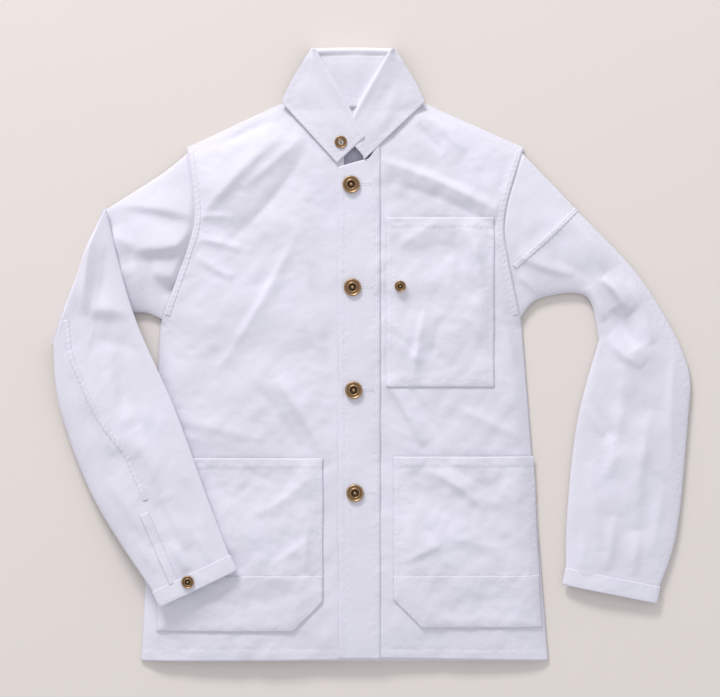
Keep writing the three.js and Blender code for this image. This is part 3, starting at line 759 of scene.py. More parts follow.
# ---- Stitching ---------------------------------------------------------------------------------
class Sewing:
    """Lays rows of stitches on finished cloth."""

    LENGTH = 2.9
    PITCH = 3.7
    HALF_WIDTH = 0.32
    RISE = 0.22

    def __init__(self) -> None:
        """Start with no surfaces."""
        self.trees: Dict[str, BVHTree] = {}

    def tree(self, cloth: bpy.types.Object) -> BVHTree:
        """A tree of a cloth's faces, in garment millimetres."""
        if cloth.name not in self.trees:
            mesh = cloth.data
            co = np.empty(len(mesh.vertices) * 3, np.float32)
            mesh.vertices.foreach_get("co", co)
            points = LAYOUT.garment(co.reshape(-1, 3))
            polygons = [tuple(p.vertices) for p in mesh.polygons]
            self.trees[cloth.name] = BVHTree.FromPolygons([tuple(p) for p in points], polygons)
        return self.trees[cloth.name]

    def drop(self, cloth: bpy.types.Object, x: float, y: float, above: bool = True) -> Optional[Vector]:
        """Where the cloth is met, going straight down from over it or up from under it."""
        start, way = (90.0, -1) if above else (-20.0, 1)
        return self.tree(cloth).ray_cast(Vector((x, y, start)), Vector((0, 0, way)))[0]

    def run(self, name: str, cloth: Cloth, lines: Iterable[Line], holding: Holding) -> bpy.types.Object:
        """Rows of stitches on a cloth.

        Args:
            name: name of the joined stitches.
            cloth: the cloth they are sewn into.
            lines: their lines in plan, in garment millimetres.
            holding: what they move with, as the cloth does.

        Returns:
            The stitches as one object.
        """
        vertices: List[Vector] = []
        faces: List[Tuple[int, int, int]] = []
        for line in lines:
            line = np.asarray(line, float)
            run = float(np.linalg.norm(np.diff(line, axis=0), axis=1).sum())
            count = max(int(run / self.PITCH), 1)
            dense = spaced(line, count * 2 + 1)
            for k in range(count):
                start = dense[2 * k]
                end = start + (dense[2 * k + 2] - start) * (self.LENGTH / self.PITCH)
                a, b = self.drop(cloth.object, *start), self.drop(cloth.object, *end)
                if a is None or b is None or abs(a.z - b.z) > self.LENGTH:
                    continue
                self.stitch(vertices, faces, a, b)
        return self.join(name, vertices, faces, holding)

    @staticmethod
    def join(name: str, vertices: List[Vector], faces: list, holding: Holding) -> bpy.types.Object:
        """All the stitches of a piece as one object."""
        mesh = bpy.data.meshes.new(name)
        mesh.from_pydata(LAYOUT.frame(np.array([tuple(v) for v in vertices])), [], faces)
        mesh.shade_smooth()
        mesh.materials.append(FINISHER.cloth(THREAD))
        piece = bpy.data.objects.new(name, mesh)
        bpy.context.scene.collection.objects.link(piece)
        hold(piece, holding)
        LOG.info("%s: %d stitches", name, len(vertices) // 6)
        return piece

    def stitch(self, vertices: list, faces: list, a: Vector, b: Vector) -> None:
        """One stitch: a slim body with pointed ends."""
        along = (b - a).normalized()
        side = along.cross(Vector((0, 0, 1))).normalized() * self.HALF_WIDTH
        up = side.cross(along).normalized() * self.RISE
        middle = (a + b) / 2 + up * 0.4
        first = len(vertices)
        vertices += [a - up * 0.5, middle + side, middle + up, middle - side, middle - up, b - up * 0.5]
        ring = [first + 1, first + 2, first + 3, first + 4]
        for k in range(4):
            m, n = ring[k], ring[(k + 1) % 4]
            faces.append((first, n, m))
            faces.append((first + 5, m, n))


SEWING = Sewing()


def felled_seam(name: str, cloth: Cloth, line: Line, width: float, holding: Holding,
                rise: float = 0.75) -> bpy.types.Object:
    """A flat-felled seam: a puckered double strip with a row of stitches along each side.

    Args:
        name: the strip's name.
        cloth: the cloth it runs over.
        line: the middle of the seam in plan, in garment millimetres.
        width: its width in millimetres.
        holding: what it moves with, as the cloth does.
        rise: how far it stands over the cloth, in millimetres.

    Returns:
        The strip.
    """
    run = float(np.linalg.norm(np.diff(np.asarray(line, float), axis=0), axis=1).sum())
    middle = spaced(line, max(int(run / 1.9), 4))
    along = np.linspace(0, run, len(middle))
    rows = []
    for k, part in enumerate((-0.5, -0.44, -0.2, 0.0, 0.2, 0.44, 0.5)):
        edge = offset(middle, part * width)
        found = [SEWING.drop(cloth.object, a, b) for a, b in edge]
        level = np.array([f.z if f is not None else np.nan for f in found])
        good = ~np.isnan(level)
        if good.sum() < 2:
            level[:] = 10.0
        else:
            level = np.interp(along, along[good], level[good])
        pucker = 0.30 * np.sin(along * 2 * math.pi / 7.3 + 1.7 * np.sin(along / 19.0) + part * 2.2)
        height = (-0.25 if k in (0, 6) else rise + pucker * (1.2 if abs(part) > 0.3 else 0.5))
        rows.append(np.concatenate([edge, (level + height)[:, None]], axis=1))
    points = np.stack(rows, axis=1)
    flat = np.stack([np.broadcast_to((np.arange(7) * width / 6)[None], points.shape[:2]),
                     np.broadcast_to(along[:, None], points.shape[:2])], axis=2)
    if Grid(points, flat).normals()[..., 2].mean() < 0:
        points, flat = points[:, ::-1], flat[:, ::-1]
    strip = Cloth(name, Grid(points, flat), 0.3, TWILL, [line], 3.0)
    strip.place(holding)
    SEWING.run(f"{name}_stitches", strip, [offset(middle, d * (width / 2 - 1.1)) for d in (-1,
            1)], holding)
    return strip.object


# ---- Body panels -------------------------------------------------------------------------------
@dataclass(frozen=True)
class BodySizes:
    """Thicknesses and hems of the body, in millimetres."""

    cloth: float = 0.9
    step: float = 2.8
    hem: float = 15.0


class BodyPanels:
    """The back, the two fronts and the button stand."""

    def __init__(self, sizes: BodySizes) -> None:
        """Keep the sizes."""
        self.sizes = sizes
        self.pattern = PATTERN

    def build(self) -> None:
        """Make the panels and sew them."""
        self.back()
        self.front("left_front", self.pattern.left, self.pattern.placket_seam - 3.5)
        self.front("right_front", self.pattern.right, self.pattern.placket_edge + 8)
        self.stand()

    def hem_line(self, x: Array) -> Array:
        """How high the fronts' hem lies above the back's."""
        return 0.6 + 4.6 * np.exp(-(((x - 66) / 88) ** 2)) + 0.5 * np.sin(x / 31.0)

    def back(self) -> None:
        """The back panel, flat on the table."""
        p = self.pattern
        middle = (0.0, p.neck[1] - p.back_drop)
        edges = []
        for side in (p.left, p.right):
            outer = np.concatenate([p.outer_edge(side, 0), p.shoulder(side)[1:]])
            neck = p.neckline(side, middle)[::-1][1:]
            edges.append(spaced(np.concatenate([outer, neck]), 250))
        wave = Noise(3)
        panel = Grid.ruled(edges[1], edges[0], 150, lambda x, y: 1.25 + 0.2 * wave.at(x, y, 40))
        cloth = Cloth("back_cloth", panel, self.sizes.cloth, LINING)
        cloth.place(Body.TORSO, "back_panel", "left_side_seam", "right_side_seam")
        cloth.declare("laid")

    def front(self, name: str, side: Side, inner_x: float) -> Cloth:
        """One front, from its inner edge to the side seam, the armhole and the shoulder."""
        p, s = self.pattern, side.sign
        hem = float(self.hem_line(np.array(s * side.hem)))
        outer = p.outer_edge(side, hem)
        neck = spline([(inner_x, 704), (s * 46, 738), (s * 76, 760), (s * p.neck[0], p.neck[1])], 30)
        inner = np.concatenate([[(inner_x, float(self.hem_line(np.array(inner_x))))], neck])
        rows = int(760 / self.sizes.step)
        inner, outer = spaced(inner, rows), spaced(outer, rows)
        columns = int(245 / self.sizes.step)
        left, right = (inner, outer) if s > 0 else (outer, inner)
        grid = Grid.ruled(left, right, columns, BODY.height)
        lift = smooth(self.sizes.hem - grid.points[..., 1], -1.5, 1.5) * 0.5
        grid.points[..., 2] += lift
        armhole = p.armhole(side)
        first, second = offset(armhole, s * 2.2), offset(armhole, s * 9.0)
        shoulder = np.asarray(p.shoulder(side))
        seams = [first, second, offset(spaced(shoulder, 30), s * 2), [(inner_x, self.sizes.hem + 4),
                 (s * side.hem, self.sizes.hem)]]
        cloth = Cloth(name, grid, self.sizes.cloth, TWILL, seams)
        label = "left" if s > 0 else "right"
        cloth.place(Body.TORSO, f"{label}_front_panel", f"{label}_shoulder_seam")
        seam_line = offset([q for q in armhole[1:-1] if q[1] > 468], s * 4.9)
        strip = felled_seam(f"{name}_armhole_seam", cloth, seam_line, 7.6, Body.TORSO, 0.4)
        cloth.declare("laid", ["back_cloth"], [strip])
        hem_run = np.linspace(inner_x + s * 2, s * (side.hem - 3), 60)
        hem_stitch = np.stack([hem_run, self.hem_line(hem_run) + self.sizes.hem - 1], axis=1)
        shoulder_run = spaced(shoulder, 40)
        lines = [hem_stitch, offset(shoulder_run, s * 2.4), offset(shoulder_run, s * 8.6)]
        SEWING.run(f"{name}_stitches", cloth, lines, Body.TORSO)
        return cloth

    def stand(self) -> None:
        """The doubled strip under the placket."""
        p = self.pattern
        low = [p.placket_edge + 8.4, p.placket_seam - 3]
        y = np.linspace(5.5, p.front_neck_y - 1, 230)
        left = np.stack([np.full_like(y, low[0]), y], axis=1)
        right = np.stack([np.full_like(y, low[1]), y], axis=1)
        grid = Grid.ruled(left, right, 20, BODY.height)
        cloth = Cloth("button_stand_cloth", grid, 0.9, TWILL)
        cloth.place(Body.TORSO, "button_stand")
        cloth.declare("laid", ["right_front"])


# ---- Placket -----------------------------------------------------------------------------------
@dataclass(frozen=True)
class PlacketSizes:
    """The placket's cloth and buttonholes, in millimetres."""

    lift: float = 1.9
    cloth: float = 1.3
    first_row: float = 2.0
    second_row: float = 8.5
    hole_length: float = 24.0
    hole_width: float = 4.6
    pitch: float = 0.8
    slit: float = 0.25


class Placket:
    """The band over the front opening, with its buttonholes."""

    def __init__(self, sizes: PlacketSizes, buttons: Sequence[Point]) -> None:
        """Keep the sizes and the buttons' places."""
        self.sizes, self.buttons = sizes, buttons
        seam = PATTERN.placket_seam
        self.holding = Bend(Body.TORSO, Body.PLACKET, (seam + 1, 336, 18), (seam - 8, 336, 18))

    def height(self, x: Array, y: Array) -> Array:
        """The placket's top, a little proud of the front it is sewn to."""
        edge = smooth(x, PATTERN.placket_edge - 1, PATTERN.placket_edge + 5)
        wave = Noise(21).at(x, y, 24, 1.4, 90)
        seam = smooth(x, PATTERN.placket_seam - 5, PATTERN.placket_seam + 1)
        top = BODY.height(x, y) + self.sizes.lift - 0.5 * (1 - edge) - 1.3 * seam + 0.3 * wave
        return top - 0.2 * np.exp(-(((x - PATTERN.placket_edge - 9) / 1.8) ** 2))

    def build(self) -> None:
        """Make the band, its stitching and its buttonholes."""
        p, z = PATTERN, self.sizes
        y = np.linspace(4.6, p.front_neck_y, 262)
        wander = 0.7 * np.sin(y / 47.0) + 0.4 * np.sin(y / 19.0 + 1)
        left = upright(p.placket_edge + wander, y)
        right = upright(p.placket_seam, y)
        grid = Grid.ruled(left, right, 26, self.height)
        x, t = grid.points[..., 0], (grid.points[..., 1] - y[0]) / (y[-1] - y[0])
        top = 1.5 + 0.28 * (x - p.placket_edge) + 20 * smooth(x, 20, p.placket_seam)
        grid.points[..., 1] += top * smooth(t, 0.9, 1.0)
        grid.points[..., 2] = self.height(grid.points[..., 0], grid.points[..., 1])
        edge = p.placket_edge
        seams = [[(edge + z.second_row, 4), (edge + z.second_row, 668)],
                 [(p.placket_seam - 1, 4), (p.placket_seam - 1, 668)],
                 [(p.placket_seam - 7, 4), (p.placket_seam - 7, 668)]]
        cloth = Cloth("placket_cloth", grid, z.cloth, TWILL, seams)
        cloth.place(self.holding, "placket_band")
        cloth.declare("laid", ["button_stand_cloth"])
        rows = [upright(edge + wander + d, y) for d in (z.first_row, z.second_row)]
        rows += [upright(p.placket_seam - d, y) for d in (1.6, 7.6)]
        rows += [[(edge + 2, 19), (p.placket_seam - 2, 19)], [(edge + 2, 667.5), (20, 678)]]
        SEWING.run("placket_stitches", cloth, rows, self.holding)
        for i, (bx, by) in enumerate(self.buttons):
            self.buttonhole(cloth, f"buttonhole_{i + 1}", bx + 7, by)

    def buttonhole(self, cloth: Cloth, name: str, x: float, y: float) -> None:
        """A worked buttonhole: two rows of close stitches with a bar at its end."""
        z, half = self.sizes, self.sizes.hole_width / 2
        start, end = x - 4, x - 4 + z.hole_length
        ends = [((start + z.pitch * k, y + side * z.slit), (start + z.pitch * k, y + side * half))
                for side in (-1, 1) for k in range(int(z.hole_length / z.pitch))]
        ends += [((end - 1.6, y - half + z.pitch * k), (end + 0.8, y - half + z.pitch * k))
                 for k in range(int(z.hole_width / z.pitch) + 1)]
        vertices, faces = [], []
        for first, last in ends:
            a, b = SEWING.drop(cloth.object, *first), SEWING.drop(cloth.object, *last)
            if a is not None and b is not None:
                SEWING.stitch(vertices, faces, a + Vector((0, 0, 0.12)), b)
        SEWING.join(name, vertices, faces, self.holding)


# ---- Pockets -----------------------------------------------------------------------------------
@dataclass(frozen=True)
class PocketShape:
    """A patch pocket's outline, with distances from the button line (garment mm)."""

    name: str
    sign: int
    inner: float
    outer_top: float
    outer_bottom: float
    bottom: float
    top: float
    chamfer: float = 0.0
    cross_seam: float = 0.0
    folds: Tuple[Fold, ...] = ()
    seed: int = 1


CHEST = PocketShape(
    "chest_pocket", 1, 44.5, 190.5, 190.5, 372, 601.5, seed=31, folds=(
        Fold((150, 590), (176, 508), 3.0, 8, 0.4, 5), Fold((132, 596), (150, 520), -1.8, 7),
        Fold((100, 486), (82, 378), 2.4, 6, 0.4, -3), Fold((118, 470), (104, 400), -1.4, 6),
        Fold((60, 560), (120, 600), 1.6, 9, -0.3), Fold((150, 470), (186, 430), 1.8, 8, 0.3),
        Fold((60, 430), (96, 404), 1.4, 8)))
LEFT_LOWER = PocketShape(
    "left_lower_pocket", 1, 54.5, 245, 257, 46.5, 278.5, 39, 117.5, seed=32, folds=(
        Fold((96, 264), (180, 206), 3.2, 9, 0.4, 5), Fold((110, 280), (196, 226), -1.6, 8),
        Fold((60, 134), (118, 160), 1.8, 6, 0.2), Fold((200, 240), (236, 190), 1.8, 9, 0.2),
        Fold((130, 170), (210, 150), 1.5, 9, -0.2), Fold((70, 210), (90, 150), 1.4, 8)))
RIGHT_LOWER = PocketShape(
    "right_lower_pocket", -1, 40.5, 265.5, 265.5, 41.5, 276.5, 41, 117.5, seed=33, folds=(
        Fold((-60, 250), (-130, 200), 2.6, 9, 0.3, 4), Fold((-54, 170), (-110, 130), 2.0, 8, 0.3),
        Fold((-150, 262), (-100, 240), -1.4, 8), Fold((-66, 120), (-60, 190), 1.5, 7)))


class Pocket:
    """A patch pocket with a turned mouth, lying proud of the front."""

    SEAT = 1.2
    PUFF = 2.7
    MOUTH = 13.0
    STEP = 2.4

    def __init__(self, shape: PocketShape, button: Optional[Point] = None) -> None:
        """Keep the outline and the button's place."""
        self.shape, self.button = shape, button
        self.noise = Noise(shape.seed)

    def edge_x(self, y: Array) -> Tuple[Array, Array]:
        """Distances of the inner and outer edges from the button line at each height."""
        s = self.shape
        cut = np.maximum(s.bottom + s.chamfer - y, 0)
        t = (y - s.bottom) / (s.top - s.bottom)
        return s.inner + cut, s.outer_bottom + (s.outer_top - s.outer_bottom) * t

    def outline(self, inset: float) -> Array:
        """The sewn edge from the inner mouth round to the outer mouth, drawn in by an inset."""
        s = self.shape
        corner = s.chamfer - inset * 0.586 if s.chamfer else 0.0
        points = [(s.inner + inset, s.top), (s.inner + inset, s.bottom + inset + corner)]
        if s.chamfer:
            points.append((s.inner + inset + corner, s.bottom + inset))
        points += [(s.outer_bottom - inset, s.bottom + inset), (s.outer_top - inset, s.top)]
        return np.array([(s.sign * x, y) for x, y in points])

    def height(self, x: Array, y: Array) -> Array:
        """The patch's top."""
        s, n = self.shape, self.noise
        edge = distance_to(self.outline(0), x, y)
        free = smooth(edge, 3, 26)
        mouth = smooth(y, s.top - 60, s.top) * smooth(edge, 4, 30)
        wave = (1.0 * n.at(x, y, 46, 1.4, 20) + 0.5 * n.at(x, y, 21, 1.6, -40)
                + 0.2 * n.at(x, y, 10, 1.5, 60))
        z = (BODY.height(x, y) + self.SEAT + self.PUFF * (1 - np.exp(-edge / 10)) * 0.8
             + 0.9 * mouth + free * (1.4 * folded(s.folds, x, y) + 1.3 * wave))
        hem = smooth(y, s.top - self.MOUTH - 1, s.top - self.MOUTH + 1)
        if self.button is not None:
            near = np.hypot(x - self.button[0], y - self.button[1])
            z = z + (22.3 - z) * np.exp(-((near / 12) ** 2))
        return z + 0.6 * hem

    def build(self) -> Cloth:
        """Make the patch, its stitching and any reinforcement."""
        s = self.shape
        rows = int((s.top - s.bottom) / self.STEP)
        y = np.linspace(s.bottom, s.top, rows)
        inner, outer = self.edge_x(y)
        wander = 0.35 * np.sin(y / 17.0 + s.seed)
        a = upright(s.sign * inner + wander, y)
        b = upright(s.sign * outer + wander, y)
        left, right = (a, b) if s.sign > 0 else (b, a)
        columns = int(abs(s.outer_bottom - s.inner) / self.STEP)
        seams = [self.outline(2), self.outline(8), [(s.sign * s.inner, s.top - self.MOUTH),
                                                    (s.sign * s.outer_top, s.top - self.MOUTH)]]
        cross = [(s.sign * (s.inner + 2), s.cross_seam), (s.sign * (s.outer_bottom - 4), s.cross_seam)]
        if s.cross_seam:
            seams.append(cross)
        cloth = Cloth(f"{s.name}_cloth", Grid.ruled(left, right, columns, self.height), 0.9, TWILL, seams)
        cloth.place(Body.TORSO, s.name, f"{s.name}_hem")
        lines = [self.dense(self.outline(1.8)), self.dense(self.outline(7.6))]
        mouth = s.top - self.MOUTH
        ends = (s.sign * (s.inner + 1.5), mouth), (s.sign * (s.outer_top - 1.5), mouth)
        lines.append(np.linspace(*ends, 60))
        fits = [self.reinforcement().object] if s.cross_seam else []
        cloth.declare("laid", ["left_front" if s.sign > 0 else "right_front"], fits)
        SEWING.run(f"{s.name}_stitches", cloth, lines, Body.TORSO)
        return cloth

    @staticmethod
    def dense(line: Array) -> Array:
        """The same line with many points, for even stitches."""
        return spaced(line, 160)

    def reinforcement(self) -> Cloth:
        """The doubled lower part of a pocket."""
        s = self.shape
        y = np.linspace(s.bottom + 0.4, s.cross_seam, int((s.cross_seam - s.bottom) / self.STEP))
        inner, outer = self.edge_x(y)
        a = upright(s.sign * (inner + 0.5), y)
        b = upright(s.sign * (outer - 0.5), y)
        left, right = (a, b) if s.sign > 0 else (b, a)
        columns = int(abs(s.outer_bottom - s.inner) / self.STEP)
        grid = Grid.ruled(left, right, columns, lambda x, yy: self.height(x, yy) + 0.75)
        seam_y = s.cross_seam - 2
        seams = [self.outline(2), [(s.sign * s.inner, seam_y), (s.sign * s.outer_bottom, seam_y)]]
        cloth = Cloth(f"{s.name}_reinforcement", grid, 0.6, TWILL, seams)
        cloth.place(Body.TORSO, f"{'left' if s.sign > 0 else 'right'}_pocket_reinforcement")
        top = s.cross_seam
        rows = [np.linspace((s.sign * (s.inner + 2), top - d), (s.sign * (s.outer_bottom - 4),
                top - d), 80)
                for d in (1.6, 7.0)]
        sewn = self.outline(1.8)
        low = sewn[sewn[:, 1] < s.cross_seam]
        SEWING.run(f"{s.name}_reinforcement_stitches", cloth, rows + [spaced(low, 100)], Body.TORSO)
        return cloth


# ---- Collar ------------------------------------------------------------------------------------
@dataclass(frozen=True)
class CollarSizes:
    """The collar's lines in garment millimetres."""

    roll_top: Point = (53.0, 829.0)
    side_top: Point = (55.0, 829.5)
    corner: Point = (97.0, 757.5)
    bulge: float = 6.0
    right_roll_end: Point = (13.5, 707.5)
    right_point: Point = (-21.5, 674.0)
    left_roll_end: Point = (0.3, 733.5)
    left_front_top: Point = (3.0, 697.0)
    left_point: Point = (16.5, 680.5)
    top: float = 831.0
    fold_half: float = 54.0
    cloth: float = 1.7
    crest: float = 21.5


class Collar:
    """A soft shirt collar: two leaves folded over their roll lines, and the band inside."""

    def __init__(self, sizes: CollarSizes) -> None:
        """Keep the sizes."""
        self.sizes = sizes
        self.noise = Noise(41)

    def outer_side(self, sign: int) -> Array:
        """A leaf's outer side, from the top down to its corner."""
        z = self.sizes
        top = np.array([sign * z.side_top[0], z.side_top[1]])
        corner = np.array([sign * z.corner[0], z.corner[1]])
        control = (top + corner) / 2 + np.array([sign * z.bulge, 0])
        t = np.linspace(0, 1, 12)[:, None]
        return top * (1 - t) ** 2 + 2 * control * t * (1 - t) + corner * t**2

    def leaf(self, name: str, sign: int, roll_end: Point, tail: Line, point: Point, body: Body,
             folds: Tuple[Fold, ...]) -> Cloth:
        """One leaf, from its rounded roll edge to its outer edge.

        Args:
            name: the piece's name.
            sign: 1 for the wearer's left, -1 for the right.
            roll_end: the lower end of its roll line.
            tail: any further points of its front edge before the tip.
            point: the tip of the leaf.
            body: what it lifts with.
            folds: folds of its own.
        """
        z = self.sizes
        roll = np.array([(sign * z.roll_top[0], z.roll_top[1]), roll_end])
        rows = 78
        roll_line = spaced(roll, rows)
        outer = spaced(np.concatenate([self.outer_side(sign), [point]]), rows)
        if len(tail):
            front = np.concatenate([[roll_end], np.asarray(tail, float), [point]])
            extra = spaced(front, 14)[1:]
            roll_line = np.concatenate([spaced(roll, rows), extra[:-1]])
            outer = np.concatenate([spaced(np.concatenate([self.outer_side(sign), [point]]), rows),
                                    np.repeat([point], len(extra) - 1, axis=0)])
            t = np.linspace(0, 1, len(extra) + 1)[1:-1, None]
            outer[rows:] = point + (roll_line[rows:] - point) * 0.02 * t
        columns = 44
        t = (np.linspace(0, 1, columns) ** 1.25)[None, :, None]
        plan = roll_line[:, None, :] * (1 - t) + outer[:, None, :] * t
        x, y = plan[..., 0], plan[..., 1]
        near = distance_to(roll, x, y)
        width = np.maximum(np.linalg.norm(outer - roll_line, axis=1), 3)[:, None]
        under = self.ground(x, y)
        edge = distance_to(np.concatenate([self.outer_side(sign), [point]]), x, y)
        wave = self.noise.at(x, y, 30, 1.5, 60 * sign) * 0.6 + self.noise.at(x, y, 13) * 0.25
        lifted = under + 2.6 + (smooth(edge, 2, 20) * smooth(near, 0, 14)) * (
            1.2 + wave + 1.2 * folded(folds, x, y))
        crest = self.crest(y)
        fall = np.exp(-((near / np.minimum(13, width * 0.6)) ** 1.3))
        height = lifted + np.maximum(crest - lifted, 0) * fall
        points = np.concatenate([plan, height[..., None]], axis=2)
        points, plan = self.rolled_edge(points, plan, roll_line, outer)
        if sign < 0:
            points, plan = points[:, ::-1], plan[:, ::-1]
        line = np.concatenate([self.outer_side(sign), [point]])
        edge_line = np.concatenate([line, [roll_end]]) if sign < 0 else np.concatenate(
            [line, np.asarray(tail, float).reshape(-1, 2)])
        seams = [offset(spaced(edge_line, 60), sign * -1.8), offset(spaced(edge_line, 60), sign * -7.5)]
        cloth = Cloth(name, Grid(points, plan), z.cloth, TWILL, seams)
        holding = self.holding(sign, body)
        cloth.place(holding)
        SEWING.run(f"{name}_stitches", cloth, seams, holding)
        return cloth

    def holding(self, sign: int, body: Body) -> Bend:
        """The joint a leaf crosses: from the torso at the back of the neck to its own collar body at its
        tip.
        """
        if sign < 0:
            return Bend(Body.TORSO, body, (-8, 742, 20), (-31, 729, 20))
        return Bend(Body.TORSO, body, (4, 742, 20), (25, 730, 20))

    def crest(self, y: Array) -> Array:
        """The height of the roll edge."""
        return self.sizes.crest - 1.0 * smooth(y, 770, 822) + 0.4 * np.sin(y / 11.0)

    def ground(self, x: Array, y: Array) -> Array:
        """The height of what a leaf lies on."""
        return np.where(y > 640, BODY.plain(x, np.minimum(y, 745)), BODY.height(x, y))

    def rolled_edge(self, points: Array, plan: Array, roll: Array, outer: Array) -> Tuple[Array, Array]:
        """Extra columns that turn the cloth down over its roll edge."""
        away = outer - roll
        away /= np.maximum(np.linalg.norm(away, axis=1, keepdims=True), 1e-6)
        away = np.where(np.arange(len(away))[:, None] < 78, away, away[77])
        turned, flat = [], []
        radius = 2.4 - 1.5 * smooth(plan[:, :1, 1], 770, 826)
        for angle in np.radians([165, 135, 105, 78, 52, 26]):
            shift = away * (-radius * math.sin(angle))
            drop = radius * (1 - math.cos(angle))
            spot = points[:, 0].copy()
            spot[:, :2] += shift
            spot[:, 2] -= drop[:, 0]
            turned.append(spot)
            flat.append(plan[:, 0] - away * radius * angle)
        return (np.concatenate([np.stack(turned, axis=1), points], axis=1),
                np.concatenate([np.stack(flat, axis=1), plan], axis=1))

    def inside(self) -> None:
        """The inside of the collar and of the back of the neck, up over the fold behind it."""
        z = self.sizes
        y_rows = np.linspace(700, 821, 62)
        (top_x, top_y), (right_x, right_y), (left_x,
                left_y) = z.roll_top, z.right_roll_end, z.left_roll_end
        down = top_y - y_rows
        right = -top_x + down * (right_x + top_x) / (top_y - right_y)
        left = top_x - down * (top_x - left_x) / (top_y - left_y)
        middle = (right + left) / 2
        half = np.maximum((left - right) / 2, 0) + 8
        left_edge = np.stack([middle - half, y_rows], axis=1)
        right_edge = np.stack([middle + half, y_rows], axis=1)
        t = np.linspace(0, 1, 56)[None, :, None]
        plan = left_edge[:, None, :] * (1 - t) + right_edge[:, None, :] * t
        x, y = plan[..., 0], plan[..., 1]
        bowl = 5.2 + 3.4 * smooth(y, 748, 752) + 9.6 * smooth(y, 752, 822)
        side = np.minimum(distance_to([(-z.roll_top[0], z.roll_top[1]), z.right_roll_end], x, y),
                          distance_to([(z.roll_top[0], z.roll_top[1]), z.left_roll_end], x, y))
        inside = (x > np.interp(y, y_rows, right)) & (x < np.interp(y, y_rows, left))
        side = np.where(inside, side, -side)
        wall = np.exp(-np.maximum(side, 0) / 3.2)
        wave = self.noise.at(x, y, 22, 2.0, 80) * 0.7 * (1 - wall)
        low = np.minimum(17.2, bowl + 7.0) - 0.25 * np.maximum(-side, 0)
        height = bowl + wave + (low - bowl) * wall
        height = np.where(y < 722, np.minimum(height, 15.5), height)
        points = np.concatenate([plan, height[..., None]], axis=2)
        curl = []
        flat = []
        for turn, up, back in ((0.2, 19.6, 823.6), (0.4, 20.6, 826.4), (0.6, 19.6, 829.2), (0.8,
                16.0, 830.6),
                               (0.9, 11.0, 830.9), (1.0, 6.0, 829.8), (1.1, 2.6, 826.0), (1.2,
                                       1.6, 815.0),
                               (1.3, 1.5, 800.0)):
            row = points[-1].copy()
            reach = z.fold_half * min(1, 0.95 + 0.05 * turn)
            row[:, 0] = np.linspace(-reach, reach, row.shape[0])
            bow = 1 - (row[:, 0] / z.fold_half) ** 2
            row[:, 1] = back - 1.4 * (1 - bow) * (1 if turn < 1.15 else 0)
            row[:, 2] = up
            curl.append(row)
            flat.append(plan[-1] + np.array([0, 12.0 * turn]))
        points = np.concatenate([points, np.stack(curl)], axis=0)
        plan = np.concatenate([plan, np.stack(flat)], axis=0)
        neck = [(-60, 772), (0, 764), (60, 772)]
        cloth = Cloth("collar_inside", Grid(points, plan), 1.3, LINING,
                      [[(-50, 814), (50, 814)], neck], 6)
        cloth.place(Body.TORSO, "collar_stand", "collar_back_fold")
        cloth.declare("folded", ["back_cloth"])
        self.inner = cloth
        SEWING.run("collar_inside_stitches", cloth, [
            [(-44, 820.5), (44, 820.5)], [(-2, 754.5), (20, 754.5)]], Body.TORSO)

    def throat(self) -> None:
        """The front end of the collar band, in the gap between the two leaves. Its cloth is painted shade,
        a darker copy of the twill for the hollow's shadow.
        """
        y = np.linspace(662, 742, 34)
        left = upright(-13, y)
        right = upright(36, y)
        grid = Grid.ruled(left, right, 26, lambda x, yy: BODY.plain(x, np.minimum(yy, 745)) - 1.2
                          - 4.5 * smooth(yy, 668, 680))
        # The band's cloth is painted shade, darker for the hollow between the leaves.
        cloth = Cloth("collar_band_front", grid, 1.0, SHADED, [[(-13, 670), (36, 670)]])
        cloth.place(Body.TORSO)
        cloth.declare("laid", ["button_stand_cloth"])

    def label(self) -> None:
        """The plain woven label at the back of the neck."""
        y = np.linspace(738, 749.5, 8)
        left = upright(-5, y)
        right = upright(8, y)
        tree = SEWING

        def height(x: Array, yy: Array) -> Array:
            """Just above the cloth it is sewn to."""
            found = [tree.drop(self.inner.object, a, b) for a, b in zip(x.ravel(), yy.ravel())]
            return np.array([f.z if f is not None else 6.0 for f in found]).reshape(x.shape) + 0.75

        cloth = Cloth("neck_label_tape", Grid.ruled(left, right, 18, height), 0.5, TAPE)
        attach(cloth.object, Body.TORSO.value)
        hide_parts("neck_label")
        cloth.declare("laid", ["collar_inside"])
        SEWING.run("neck_label_stitches", cloth, [[(-4, 748.5), (7, 748.5)]], Body.TORSO)

    def build(self) -> None:
        """Make the inside, the label and the two leaves."""
        z = self.sizes
        self.inside()
        self.throat()
        self.label()
        right = self.leaf("right_leaf_cloth", -1, z.right_roll_end, (), z.right_point,
                Body.RIGHT_COLLAR, (
            Fold((-60, 790), (-20, 720), 1.2, 9, 0.2), Fold((-70, 760), (-40, 700), -0.8, 8)))
        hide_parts("right_collar_leaf")
        right.declare("folded", ["right_front"])
        left = self.leaf("left_leaf_cloth", 1, z.left_roll_end, [z.left_front_top], z.left_point,
                         Body.LEFT_COLLAR, (Fold((62, 790), (40, 720), 1.2, 9, 0.2),))
        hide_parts("left_collar_leaf")
        left.declare("folded", ["left_front"])


# ---- Sleeves -----------------------------------------------------------------------------------
@dataclass(frozen=True)
class TubeShape:
    """A flattened sleeve: its two edges, its heights along its length, and its folds (garment mm).

    `bottom`, `edge_outer`, `edge_inner` and `top` are heights at even steps along the sleeve.
    """

    name: str
    outer: Array
    inner: Array
    bottom: Tuple[float, ...]
    edge_outer: Tuple[float, ...]
    edge_inner: Tuple[float, ...]
    top: Tuple[float, ...]
    folds: Tuple[Fold, ...] = ()
    head: Optional[Array] = None
    seed: int = 1
    step: float = 3.0
    turn_in: Optional[Point] = None
    turn_at_start: bool = False
    turn_level: float = 15.0


